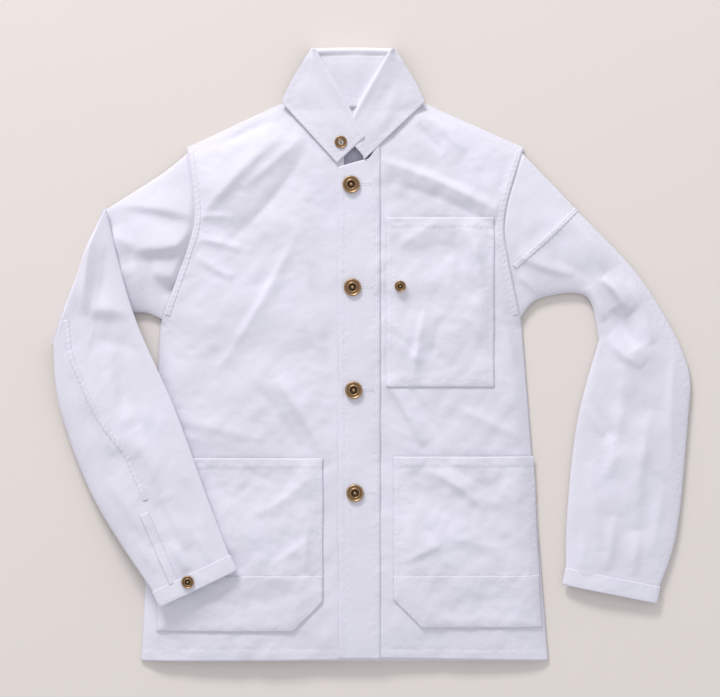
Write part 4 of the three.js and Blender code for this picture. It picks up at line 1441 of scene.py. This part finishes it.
class Tube:
    """Builds a sleeve's closed-round cloth from its shape."""

    AROUND = 104
    TUCK_FADE = 70.0

    def __init__(self, shape: TubeShape, limit: Optional[Height] = None,
                 floor: Optional[Height] = None) -> None:
        """Keep the shape, what its top stays under and what its underside stays over."""
        self.shape, self.limit, self.floor = shape, limit, floor
        self.noise = Noise(shape.seed)

    def grid(self) -> Grid:
        """The outer face, as rows round the sleeve."""
        s = self.shape
        run = max(np.linalg.norm(np.diff(s.outer, axis=0), axis=1).sum(),
                  np.linalg.norm(np.diff(s.inner, axis=0), axis=1).sum())
        rows = max(int(run / s.step), 6)
        outer, inner = spaced(s.outer, rows), spaced(s.inner, rows)
        t = np.linspace(0, 1, rows)[:, None]
        turn = np.linspace(0, 1, self.AROUND, endpoint=False)[None, :]
        across = (1 - np.cos(2 * np.pi * turn)) / 2
        across = across * 0.75 + 0.25 * (1 - np.abs(2 * turn - 1))
        plan = outer[:, None, :] * (1 - across[..., None]) + inner[:, None, :] * across[..., None]
        if s.head is not None:
            head, even = spaced(s.head, 200), np.linspace(0, 1, 200)
            places = [np.interp(across[0], even, head[:, k]) for k in (0, 1)]
            shift = np.stack(places, axis=1) - plan[0]
            fade = np.exp(-(t * run / self.TUCK_FADE) ** 1.5)
            plan = plan + shift[None] * fade[..., None]
        x, y = plan[..., 0], plan[..., 1]

        def level(values: Sequence[float]) -> Array:
            """A height that changes along the sleeve."""
            return np.interp(t, np.linspace(0, 1, len(values)), values)

        edge = level(s.edge_outer) * (1 - across) + level(s.edge_inner) * across
        swell = np.abs(np.sin(2 * np.pi * turn)) ** 0.62
        upper = turn < 0.5
        free = np.clip(swell, 0, 1) ** 2
        n = self.noise
        wave = (1.5 * n.at(x, y, 52, 1.6, 40) + 0.9 * n.at(x, y, 24, 1.8, -30)
                + 0.3 * n.at(x, y, 12, 1.6, 70))
        body = level(s.top) + free * (folded(s.folds, x, y) + wave)
        top = edge + (body - edge) * swell
        under = edge + (level(s.bottom) - edge) * swell ** 0.8
        if self.floor is not None:
            base = self.floor(x, y) + 1.3
            under = np.maximum(under, base)
            top = np.maximum(top, base + 2.0 + 5.0 * swell)
        if self.limit is not None:
            top = np.minimum(top, self.limit(x, y))
            under = np.minimum(under, top - 1.6 * swell - 0.2)
        z = np.where(upper, top, under)
        points = np.concatenate([plan, z[..., None]], axis=2)
        steps = np.linalg.norm(np.diff(points[rows // 2], axis=0), axis=1)
        around = np.concatenate([[0], np.cumsum(steps)])[None, :]
        flat = np.stack([np.broadcast_to(around, z.shape), np.broadcast_to(t * run, z.shape)], axis=2)
        if s.turn_in is not None:
            points, flat = self.turned_end(points, flat)
        across_way, along_way = inner[rows // 2] - outer[rows // 2], outer[-1] - outer[0]
        if across_way[0] * along_way[1] - across_way[1] * along_way[0] < 0:
            points, flat = points[:, ::-1], flat[:, ::-1]
        return Grid(points, flat + s.seed * 13.0, True)

    def turned_end(self, points: Array, flat: Array) -> Tuple[Array, Array]:
        """Extra rows that turn the sleeve's end over into its fold at the elbow."""
        s = self.shape
        end = points[0] if s.turn_at_start else points[-1]
        flat_end = flat[0] if s.turn_at_start else flat[-1]
        gap = end[:, 2] - s.turn_level
        middle = end[:, :2].mean(axis=0)
        spread = np.linalg.norm(end[:, :2] - middle, axis=1)
        round_off = np.sqrt(np.clip(1 - (spread / (spread.max() + 6)) ** 4, 0, 1))
        bulge = 6.5 * np.abs(gap) / max(np.abs(gap).max(), 1) * (0.45 + 0.55 * round_off)
        rows, flats = [], []
        for angle in np.radians([12, 26, 40, 54, 68, 80, 90]):
            row = end.copy()
            row[:, :2] += np.array(s.turn_in)[None] * (bulge * math.sin(angle))[:, None]
            row[:, 2] = s.turn_level + gap * math.cos(angle)
            rows.append(row)
            flats.append(flat_end + np.array([0.0, (-1 if s.turn_at_start else 1) * 9 * angle]))
        if s.turn_at_start:
            return np.concatenate([rows[::-1], points]), np.concatenate([flats[::-1], flat])
        return np.concatenate([points, rows]), np.concatenate([flat, flats])


def armhole_limit(side: Side) -> Height:
    """The height that a sleeve's head stays under, where it is tucked into its armhole."""
    line = PATTERN.armhole(side)

    def limit(x: Array, y: Array) -> Array:
        """Just under the body's cloth inside the armhole, and rising away from it."""
        edge = np.interp(y, line[:, 1], side.sign * line[:, 0])
        out = side.sign * x - edge
        return BODY.plain(x, y) - 1.7 + 0.9 * np.maximum(out, 0) + 30 * smooth(out, 20, 60)

    return limit


LEFT_SLEEVE_FOLDS = (
    Fold((300, 608), (226, 542), 2.4, 7, 0.2), Fold((222, 552), (300, 524), 5.5, 9, 0.5, -4),
    Fold((224, 524), (262, 488), 6.5, 7, 0.6), Fold((228, 500), (252, 470), -5.0, 7),
    Fold((300, 604), (350, 520), 3.6, 12, 0.3), Fold((268, 548), (330, 516), -3.6, 11),
    Fold((336, 520), (372, 470), 9.0, 9, 0.8, 4), Fold((372, 516), (404, 430), 6.5, 9, 0.6, 5),
    Fold((316, 508), (340, 462), 7.0, 9, -0.7), Fold((352, 478), (384, 424), -7.0, 11),
    Fold((404, 540), (448, 440), 5.0, 9, -0.4, 5), Fold((440, 440), (434, 262), 6.0, 9, 0.5, -6),
    Fold((364, 404), (344, 250), 5.0, 13, 0.3, 6), Fold((344, 440), (392, 400), 5.0, 10, 0.5, -5),
    Fold((304, 366), (338, 306), 5.5, 8, 0.5), Fold((320, 358), (352, 300), -4.0, 8),
    Fold((404, 340), (384, 180), 4.6, 12, -0.3, -6), Fold((318, 270), (332, 150), 4.2, 9, 0.3),
    Fold((352, 196), (346, 124), 3.8, 7), Fold((384, 176), (380, 116), 3.4, 7),
    Fold((312, 180), (310, 126), 3.2, 6), Fold((420, 240), (404, 140), 3.6, 9, 0.4),
)
RIGHT_UPPER_FOLDS = (
    Fold((-338, 622), (-206, 600), 8.0, 11, 0.9, 4), Fold((-300, 560), (-204, 574), 9.5, 13, 0.9, -6),
    Fold((-330, 580), (-296, 560), 4.0, 10, -0.3), Fold((-272, 528), (-214, 528), 10.0, 12, 0.9, -7),
    Fold((-300, 540), (-276, 470), 6.5, 9, -0.6), Fold((-322, 590), (-308, 520), 4.5, 9, 0.6),
    Fold((-306, 644), (-236, 668), 3.4, 9, -0.2), Fold((-262, 496), (-226, 510), -7.0, 13),
    Fold((-250, 478), (-216, 500), 3.4, 5, 0.3),
)
FOREARM_FOLDS = (
    Fold((-346, 606), (-362, 470), 7.0, 9, 0.5, -3), Fold((-330, 560), (-342, 480), -4.0, 9),
    Fold((-352, 476), (-262, 462), 10.0, 15, 0.9, 5), Fold((-352, 440), (-276, 420), -6.0, 15, 0.2),
    Fold((-270, 446), (-226, 330), 6.0, 9, 0.6, 3), Fold((-296, 430), (-256, 330), -4.0, 9, 0.3, 3),
    Fold((-386, 420), (-322, 280), 5.0, 12, 0.5, 5), Fold((-334, 392), (-286, 280), 5.5, 11, -0.4, 3),
    Fold((-318, 420), (-306, 330), -4.0, 10), Fold((-290, 320), (-246, 220), 5.5, 10, -0.4, -3),
    Fold((-330, 250), (-270, 160), 4.5, 11, 0.4), Fold((-256, 230), (-222, 156), 4.5, 8, 0.3),
    Fold((-296, 176), (-266, 122), 3.6, 7), Fold((-244, 166), (-222, 126), 3.6, 6),
    Fold((-210, 176), (-190, 136), 3.4, 6), Fold((-226, 250), (-204, 190), -3.4, 8),
)


@dataclass(frozen=True)
class CuffShape:
    """A cuff's corner, its width and how deep and thick it is (garment mm)."""

    corner: Point
    far: Point
    depth: float = 22.0
    bottom: float = 1.4
    top: float = 12.6
    button_along: float = 50.0
    button_up: float = 14.0
    cap_level: Optional[float] = None

    def axes(self) -> Tuple[Array, Array, float]:
        """Unit vectors along the cuff and up the sleeve, and the cuff's width."""
        corner, far = np.array(self.corner), np.array(self.far)
        width = float(np.linalg.norm(far - corner))
        along = (far - corner) / width
        up = np.array([-along[1], along[0]])
        return along, (up if up[1] > 0 else -up), width

    def at(self, along: float, up: float) -> Array:
        """A place measured along the cuff and up the sleeve."""
        a, u, _ = self.axes()
        return np.array(self.corner) + a * along + u * up


class Cuff:
    """The doubled band at the end of a sleeve."""

    AROUND = 150
    RAISED = 20

    def __init__(self, name: str, shape: CuffShape, floor: Optional[Height] = None) -> None:
        """Keep the shape and what lies under the cuff."""
        self.name, self.shape, self.floor = name, shape, floor

    def build(self, body: Body, node: str) -> Cloth:
        """Make the band and its stitching."""
        s = self.shape
        along, up, width = s.axes()
        rows = 12
        profile = np.concatenate([[-0.9], np.linspace(0, s.depth, rows), [s.depth + 0.3]])
        inset = [0.8] + [0.0] * rows + [0.8]
        outer = np.array([s.at(d, p) for d, p in zip(inset, profile)])
        inner = np.array([s.at(width - d, p) for d, p in zip(inset, profile)])
        turn = np.linspace(0, 1, self.AROUND, endpoint=False)[None, :]
        across = (1 - np.cos(2 * np.pi * turn)) / 2 * 0.6 + 0.4 * (1 - np.abs(2 * turn - 1))
        plan = outer[:, None, :] * (1 - across[..., None]) + inner[:, None, :] * across[..., None]
        swell = np.abs(np.sin(2 * np.pi * turn)) ** 0.5
        x, y = plan[..., 0], plan[..., 1]
        middle = (s.top + s.bottom) / 2
        wave = Noise(71).at(x, y, 30, 1.5, 30) * 0.8
        top = middle + (s.top + wave * swell - middle) * swell
        under = middle + (s.bottom - middle) * swell
        if self.floor is not None:
            under = np.maximum(under, self.floor(x, y) + 1.0)
        lip = np.array([0.6] + [0.0] * rows + [0.5])[:, None]
        z = np.where(turn < 0.5, top - lip, under + lip)
        if s.cap_level is not None:
            spot = s.at(s.button_along, s.button_up)
            near = np.exp(-((np.hypot(x - spot[0], y - spot[1]) / 16) ** 4))
            wanted = turn < 0.5 if s.cap_level > s.bottom + 6 else turn >= 0.5
            z = np.where(wanted, z + (s.cap_level - z) * near, z)
        points = np.concatenate([plan, z[..., None]], axis=2)
        flat = np.stack([np.broadcast_to(turn * 2 * width, z.shape),
                         np.broadcast_to(profile[:, None], z.shape)], axis=2)
        if np.cross(along, up) <= 0:
            points, flat = points[:, ::-1], flat[:, ::-1]
        seams = [[s.at(3, u), s.at(width - 3, u)] for u in (2.0, s.depth - 2.0)]
        cloth = Cloth(self.name, Grid(points, flat, True), 1.5, TWILL, seams, 5)
        cloth.place(body, node)
        cloth.declare("folded")
        end = [s.at(s.button_along + 12, 2), s.at(s.button_along + 12, s.depth - 2)]
        on_top = s.cap_level is not None and s.cap_level > self.RAISED
        rows_sewn = seams + ([end] if on_top else [])
        SEWING.run(f"{self.name}_stitches", cloth, rows_sewn, body)
        return cloth


@dataclass(frozen=True)
class VentShape:
    """A vent's length, width, place along the cuff and slant (garment mm)."""

    length: float = 100.0
    width: float = 13.0
    along: float = 26.0
    slant: float = 0.032


VENT = VentShape()


class Sleeves:
    """Both sleeves, with their cuffs and bound vents."""

    LEFT_CUFF = CuffShape((412.5, 79.5), (283.5, 105.5), bottom=1.4, top=12.8, cap_level=5.0)
    RIGHT_CUFF = CuffShape((-260.5, 77.5), (-155.5, 127.5), bottom=24.4, top=33.8, cap_level=34.2)
    CREASE = ((-333.5, 613.5), (-404.5, 427.5))

    def build(self) -> None:
        """Make both sleeves."""
        self.left()
        self.right()

    def head(self, side: Side, top: Point, bottom: Point) -> Array:
        """The tucked head line of a sleeve."""
        tuck = 9.0
        s = side.sign
        points = [(top[0] - s * 7, top[1] - 2), (s * (side.deep - tuck), PATTERN.deep_y),
                  (s * (side.low - tuck), PATTERN.low_y), (bottom[0] - s * tuck, bottom[1])]
        return spline(points, 60)

    def tube(self, name: str, shape: TubeShape, nodes: Sequence[str], holding: Holding,
             limit: Optional[Height] = None, floor: Optional[Height] = None,
             seams: Sequence[Line] = (), felled: Optional[Line] = None) -> Cloth:
        """Build one tube of a sleeve, place it and hide its CAD nodes."""
        grid = Tube(shape, limit, floor).grid()
        cloth = Cloth(name, grid, 0.9, TWILL, seams)
        cloth.place(holding, *nodes)
        fits = [felled_seam(f"{name}_seam", cloth, felled, 7.4, holding)] if felled is not None else []
        cloth.declare("laid", (), fits)
        return cloth

    @staticmethod
    def nodes(prefix: str) -> List[str]:
        """The CAD nodes of one part of a sleeve."""
        return [f"{prefix}_{part}" for part in ("top", "under", "back_seam", "front_seam")]

    def left(self) -> None:
        """The sleeve that lies bent beside the body."""
        cuff = self.LEFT_CUFF
        upper_outer = spline([(231.5, 697), (301.5, 615.5), (388.5, 521.5), (441, 435.5)], 40)
        upper_inner = spline([(234, 462), (257.5, 492), (316.5, 495), (333.5, 435.5)], 40)
        lower_outer = spline([(441, 435.5), (457, 387), (454.5, 327.5), (439.5, 177.5),
                              tuple(cuff.at(1.5, 18))], 60)
        lower_inner = spline([(333.5, 435.5), (304.5, 327.5), (290.5, 205),
                              tuple(cuff.at(cuff.axes()[2] - 1.5, 18))], 60)
        shape = TubeShape(
            "left", np.concatenate([upper_outer, lower_outer[1:]]),
            np.concatenate([upper_inner, lower_inner[1:]]),
            bottom=(4, 2, 1.4, 1.4, 1.4, 1.4, 1.6), edge_outer=(5, 5, 5, 5, 5, 5, 6),
            edge_inner=(5, 5, 5, 5, 5, 5, 6), top=(13, 14, 14, 14, 13.5, 13, 12.4),
            folds=LEFT_SLEEVE_FOLDS, head=self.head(PATTERN.left, (231.5, 697), (234, 462)), seed=51)
        whole = Tube(shape, armhole_limit(PATTERN.left)).grid()
        level = whole.points[..., 1].mean(axis=1)
        cut = int(np.argmin(np.abs(level - 492)))
        outer_line = np.concatenate([upper_outer, lower_outer[1:]])
        back = [offset(outer_line, -3), offset(outer_line, -9)]
        facing = whole.normals()
        up = Cloth("left_upper_sleeve_cloth", Grid(
            whole.points[:cut + 1], whole.flat[:cut + 1], True, facing[:cut + 1]), 0.9, TWILL, back)
        low = Cloth("left_lower_sleeve_cloth", Grid(
            whole.points[cut:], whole.flat[cut:], True, facing[cut:]), 0.9, TWILL, back)
        up.shade_as_one()
        low.shade_as_one()
        first = Bend(Body.TORSO, Body.LEFT_UPPER, (214, 560, 10), (300, 528, 10))
        second = Bend(Body.LEFT_UPPER, Body.LEFT_LOWER, (388, 470, 10), (388, 401, 10))
        for cloth, holding, prefix in ((up, first, "left_upper_sleeve"), (low, second,
                "left_lower_sleeve")):
            cloth.place(holding, *self.nodes(prefix))
            diagonal = spline([(303, 613), (262, 573), (218, 534)], 30)
            fits = [felled_seam("left_sleeve_seam", cloth, diagonal, 7.0, holding)] if cloth is up else []
            cloth.declare("laid", (), fits)
            sewn = [offset(outer_line, -d) for d in (2.6, 8.6)]
            limits = (level[cut] - 4, 900) if cloth is up else (60, level[cut] - 4)
            SEWING.run(f"{prefix}_stitches", cloth, [self.between(line,
                    *limits) for line in sewn], holding)
            if cloth is low:
                self.vent("left", cloth, cuff, Body.LEFT_LOWER, False)
        Cuff("left_cuff_cloth", cuff).build(Body.LEFT_LOWER, "left_cuff")

    @staticmethod
    def between(line: Array, low: float, high: float) -> Array:
        """The part of a line between two heights up the garment."""
        inside = line[(line[:, 1] > low) & (line[:, 1] < high)]
        return spaced(inside, 200) if len(inside) > 1 else line[:2]

    @staticmethod
    def under_forearm(x: Array, y: Array) -> Array:
        """The top of what the folded forearm lies on."""
        seam = np.interp(y, [0, 453], [-288, -262.5])
        on_body = smooth(x, seam - 4, seam + 12) * smooth(560 - y, 0, 30)
        pocket = smooth(x, -268, -262) * smooth(276 - y, -8, 4)
        body = BODY.plain(x, y) + 1.0 + 4.2 * pocket
        upper = 13.5 * smooth(y, 418, 446)
        return np.maximum(body * on_body, upper)

    def right(self) -> None:
        """The sleeve whose forearm is folded over the front."""
        cuff = self.RIGHT_CUFF
        (fx, fy), (ex, ey) = self.CREASE
        length = math.hypot(ex - fx, ey - fy)
        outward = ((ey - fy) / length, -(ex - fx) / length)
        outer = spline([(-225.5, 697), (-265.5, 660), (fx, fy)], 30)
        inner = spline([(-266, 462), (-297, 473), (-350, 458), (ex, ey)], 30)
        upper = TubeShape(
            "right_upper", outer, inner, bottom=(4, 2, 1.4, 1.4), edge_outer=(5, 5, 6, 7),
            edge_inner=(5, 5, 6, 7), top=(13, 13.5, 13, 12.4), folds=RIGHT_UPPER_FOLDS,
            head=self.head(PATTERN.right, (-225.5, 697), (-266, 462)), seed=52,
            turn_in=outward)
        holding = Bend(Body.TORSO, Body.RIGHT_UPPER, (-214, 570, 10), (-292, 545, 10))
        self.tube("right_upper_sleeve_cloth", upper, self.nodes("right_upper_sleeve"), holding,
                  armhole_limit(PATTERN.right))
        low_outer = spline([(ex, ey), (-396, 340), (-349.5, 217.5), tuple(cuff.at(1.5, 18))], 60)
        low_inner = spline([(fx, fy), (-296.5, 473.5), (-240.5, 344.5), (-193.5, 217.5),
                            tuple(cuff.at(cuff.axes()[2] - 1.5, 18))], 60)
        forearm = TubeShape(
            "right_lower", low_outer, low_inner,
            bottom=(16, 15, 12, 12, 15, 21, 24.5), edge_outer=(19, 13, 8, 8, 12, 20, 28),
            edge_inner=(19, 19, 21, 23, 25, 26, 28), top=(28, 28, 27.5, 28, 29.5, 31, 33),
            folds=FOREARM_FOLDS, seed=53, turn_in=outward, turn_at_start=True)
        back = [self.back_seam(3.0), self.back_seam(9.5)]
        mx, my = (fx + ex) / 2, (fy + ey) / 2
        fold = Bend(Body.RIGHT_UPPER, Body.RIGHT_LOWER, (mx + 6 * outward[0], my + 6 * outward[1], 15),
                    (mx - 20 * outward[0], my - 20 * outward[1], 24))
        cloth = self.tube("right_lower_sleeve_cloth", forearm, self.nodes("right_lower_sleeve"),
                          fold, None, self.under_forearm, back, self.back_seam(6.2))
        Cuff("right_cuff_cloth", cuff, self.under_forearm).build(Body.RIGHT_LOWER, "right_cuff")
        self.vent("right", cloth, cuff, Body.RIGHT_LOWER)

    @staticmethod
    def back_seam(shift: float) -> Array:
        """The felled seam that runs down the forearm."""
        points = [(-392, 462), (-387, 420), (-375, 387), (-346, 327), (-312, 281),
                  (-298, 251), (-284, 218)]
        return offset(spline(points, 80), shift)

    @staticmethod
    def vent(prefix: str, sleeve: Cloth, cuff: CuffShape, body: Body, above: bool = True) -> None:
        """The bound slit above a cuff.

        Args:
            prefix: left or right.
            sleeve: the cloth it is sewn to.
            cuff: the cuff below it.
            body: what it moves with.
            above: whether it lies over the sleeve or under it.
        """
        rises = np.linspace(-2, VENT.length, 44)
        line = np.array([cuff.at(VENT.along + VENT.slant * d, cuff.depth + d) for d in rises])
        along = line[-1] - line[0]
        side = np.array([along[1], -along[0]]) / np.linalg.norm(along) * VENT.width
        left, right = (line, line + side) if side[0] > 0 else (line + side, line)

        def height(x: Array, y: Array) -> Array:
            """Just outside the sleeve."""
            found = [SEWING.drop(sleeve.object, a, b, above) for a, b in zip(x.ravel(), y.ravel())]
            z = np.array([f.z if f is not None else np.nan for f in found])
            z = np.where(np.isnan(z), np.nanmean(z), z)
            return z.reshape(x.shape) + (0.75 if above else -0.3)

        grid = Grid.ruled(left, right, 9, height)
        cloth = Cloth(f"{prefix}_vent_cloth", grid, 0.7, TWILL, [left, right], 4)
        cloth.place(body, f"{prefix}_vent_placket")
        cloth.declare("laid", [f"{prefix}_lower_sleeve_cloth"])
        if above:
            rows = [left + (right - left) * f for f in (0.12, 0.88)]
            SEWING.run(f"{prefix}_vent_stitches", cloth,
                       rows + [[left[-2], right[-2]], [left[-8], right[-8]]], body)


# ---- Buttons -----------------------------------------------------------------------------------
@dataclass(frozen=True)
class ButtonShape:
    """A pressed metal cap: radius and height in millimetres, and its turned profile."""

    radius: float
    height: float
    sides: int = 72
    profile: Tuple[Tuple[float, float], ...] = (
        (0.80, 0.00), (0.955, 0.17), (0.992, 0.32), (1.0, 0.47), (0.985, 0.60), (0.955, 0.71),
        (0.915, 0.765), (0.875, 0.755), (0.845, 0.70), (0.81, 0.60), (0.76, 0.53), (0.69, 0.50),
        (0.625, 0.52), (0.59, 0.60), (0.56, 0.70), (0.525, 0.75), (0.49, 0.735), (0.455, 0.65),
        (0.43, 0.48), (0.40, 0.30), (0.34, 0.20), (0.24, 0.20), (0.205, 0.30), (0.195, 0.60),
        (0.18, 0.78), (0.15, 0.90), (0.10, 0.97), (0.05, 0.995))


FRONT_BUTTONS = 4
CHEST_BUTTON = (63.5, 508.0)
SMALL_RADIUS = 8.5
POCKET_RADIUS = 7.7


class Button:
    """One button cap on its own turning body."""

    FRONT_HEIGHT = 5.2
    FRONT_RADIUS = 11.75

    def __init__(self, node: str, radius: float, faces_down: bool = False) -> None:
        """Find the button's place from its node's box."""
        low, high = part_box(node)
        self.node, self.faces_down = node, faces_down
        self.centre = ((low.x + high.x) / 2, (low.y + high.y) / 2)
        self.low, self.high = low.z, high.z
        self.shape = ButtonShape(radius, self.FRONT_HEIGHT * math.sqrt(radius / self.FRONT_RADIUS))

    def build(self) -> bpy.types.Object:
        """Turn the cap from a disc by pulling its inner rim up through the profile."""
        s = self.shape
        bpy.ops.object.select_all(action="DESELECT")
        base = self.high if self.faces_down else self.low
        first = s.profile[0]
        bpy.ops.mesh.primitive_circle_add(vertices=s.sides, radius=first[0] * s.radius * MM,
                                          fill_type="NGON", location=(*self.centre, base))
        piece = bpy.context.object
        bpy.ops.object.mode_set(mode="EDIT")
        bpy.ops.mesh.select_all(action="SELECT")
        way = -1 if self.faces_down else 1
        radius, level = first
        for r, h in s.profile[1:]:
            bpy.ops.mesh.extrude_region_move(
                TRANSFORM_OT_translate={"value": (0, 0, way * (h - level) * s.height * MM)})
            bpy.ops.transform.resize(value=(r / radius, r / radius, 1))
            radius, level = r, h
        bpy.ops.mesh.select_all(action="SELECT")
        bpy.ops.mesh.normals_make_consistent(inside=False)
        bpy.ops.object.mode_set(mode="OBJECT")
        bpy.ops.object.transform_apply(location=True, rotation=True, scale=True)
        bpy.ops.object.shade_smooth_by_angle(angle=math.radians(60))
        piece.name = f"{self.node}_cap"
        self._mark_recess(piece)
        piece.data.materials.clear()
        piece.data.materials.append(FINISHER.metal(BRASS))
        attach(piece, self.node)
        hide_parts(self.node)
        LOG.info("%s: radius %.1f mm", piece.name, s.radius)
        return piece

    def _mark_recess(self, piece: bpy.types.Object) -> None:
        """Mark the low rings of the cap and its outer foot, where the metal is made darker."""
        mesh = piece.data
        co = np.empty(len(mesh.vertices) * 3, np.float32)
        mesh.vertices.foreach_get("co", co)
        co = co.reshape(-1, 3)
        r = np.hypot(co[:, 0] - self.centre[0], co[:, 1] - self.centre[1]) / (self.shape.radius * MM)
        deep = (1.2 * np.exp(-(((r - 0.33) / 0.12) ** 4)) + 0.75 * np.exp(-(((r - 0.70) / 0.075) ** 2))
                + 0.5 * smooth(r, 0.97, 1.0))
        recess = mesh.attributes.new("recess", "FLOAT", "POINT")
        recess.data.foreach_set("value", np.clip(deep, 0, 1).astype(np.float32))


# ---- Room --------------------------------------------------------------------------------------
@dataclass(frozen=True)
class Room:
    """The floor, the light and the camera. Lengths in metres, colours linear."""

    floor: Tuple[float, float, float] = (0.74, 0.685, 0.655)
    world: float = 0.74
    key: float = 215.0
    floor_size: float = 16.0
    light_size: Tuple[float, float] = (1.8, 1.0)
    light: Tuple[float, float, float] = (-1.6, 4.6, 2.3)
    aim: Tuple[float, float, float] = (0.0, 0.05, 0.0)
    camera: Tuple[float, float, float] = (-0.0174, 0.0088, 2.3116)
    lens: float = 85.0
    sensor: float = 36.0


def build_room(room: Room) -> None:
    """Make the floor, the soft light from above the collar and the camera."""
    bpy.ops.object.select_all(action="DESELECT")
    bpy.ops.mesh.primitive_plane_add(size=room.floor_size, location=(0, 0, -0.0002))
    floor = bpy.context.object
    floor.name = "floor"
    floor.data.materials.append(FINISHER.plain("floor paper", room.floor))
    world = bpy.data.worlds.new("studio")
    bpy.context.scene.world = world
    world.use_nodes = True
    background = world.node_tree.nodes["Background"]
    background.inputs["Color"].default_value = (0.97, 0.98, 1.0, 1)
    background.inputs["Strength"].default_value = room.world
    light = bpy.data.lights.new("key", "AREA")
    light.shape = "RECTANGLE"
    light.size, light.size_y = room.light_size
    light.energy = room.key
    light.color = (1.0, 0.985, 0.965)
    lamp = bpy.data.objects.new("key", light)
    bpy.context.scene.collection.objects.link(lamp)
    lamp.location = room.light
    way = Vector(room.aim) - Vector(room.light)
    lamp.rotation_euler = way.to_track_quat("-Z", "Y").to_euler()
    camera = bpy.data.cameras.new("camera")
    camera.lens = room.lens
    camera.sensor_width = room.sensor
    eye = bpy.data.objects.new("camera", camera)
    bpy.context.scene.collection.objects.link(eye)
    eye.location = room.camera
    bpy.context.scene.camera = eye
    bpy.context.scene.view_settings.view_transform = "Standard"
    bpy.context.scene.view_settings.look = "None"


def finish_frame_nodes() -> None:
    """Give the shown CAD nodes their metal."""
    for name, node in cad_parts.items():
        node.data.materials.clear()
        node.data.materials.append(
            FINISHER.metal(STEEL) if name.endswith("_tack") else FINISHER.cloth(TWILL))


def front_place(i: int) -> Point:
    """The middle of a front button, counted down from the neck (garment mm)."""
    return -2.5 + 1.7 * i, 645.5 - 138.7 * i


def main() -> None:
    """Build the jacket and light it."""
    finish_frame_nodes()
    BodyPanels(BodySizes()).build()
    Pocket(CHEST, CHEST_BUTTON).build()
    Pocket(LEFT_LOWER).build()
    Pocket(RIGHT_LOWER).build()
    Placket(PlacketSizes(), [front_place(i) for i in range(FRONT_BUTTONS)]).build()
    Collar(CollarSizes()).build()
    Sleeves().build()
    for i in range(FRONT_BUTTONS):
        Button(f"front_{i + 1}_button", Button.FRONT_RADIUS).build()
    Button("chest_pocket_button", POCKET_RADIUS).build()
    Button("collar_button", SMALL_RADIUS).build()
    Button("right_cuff_button", SMALL_RADIUS).build()
    Button("left_cuff_button", SMALL_RADIUS, faces_down=True).build()
    build_room(Room())


if __name__ == "__main__":
    main()
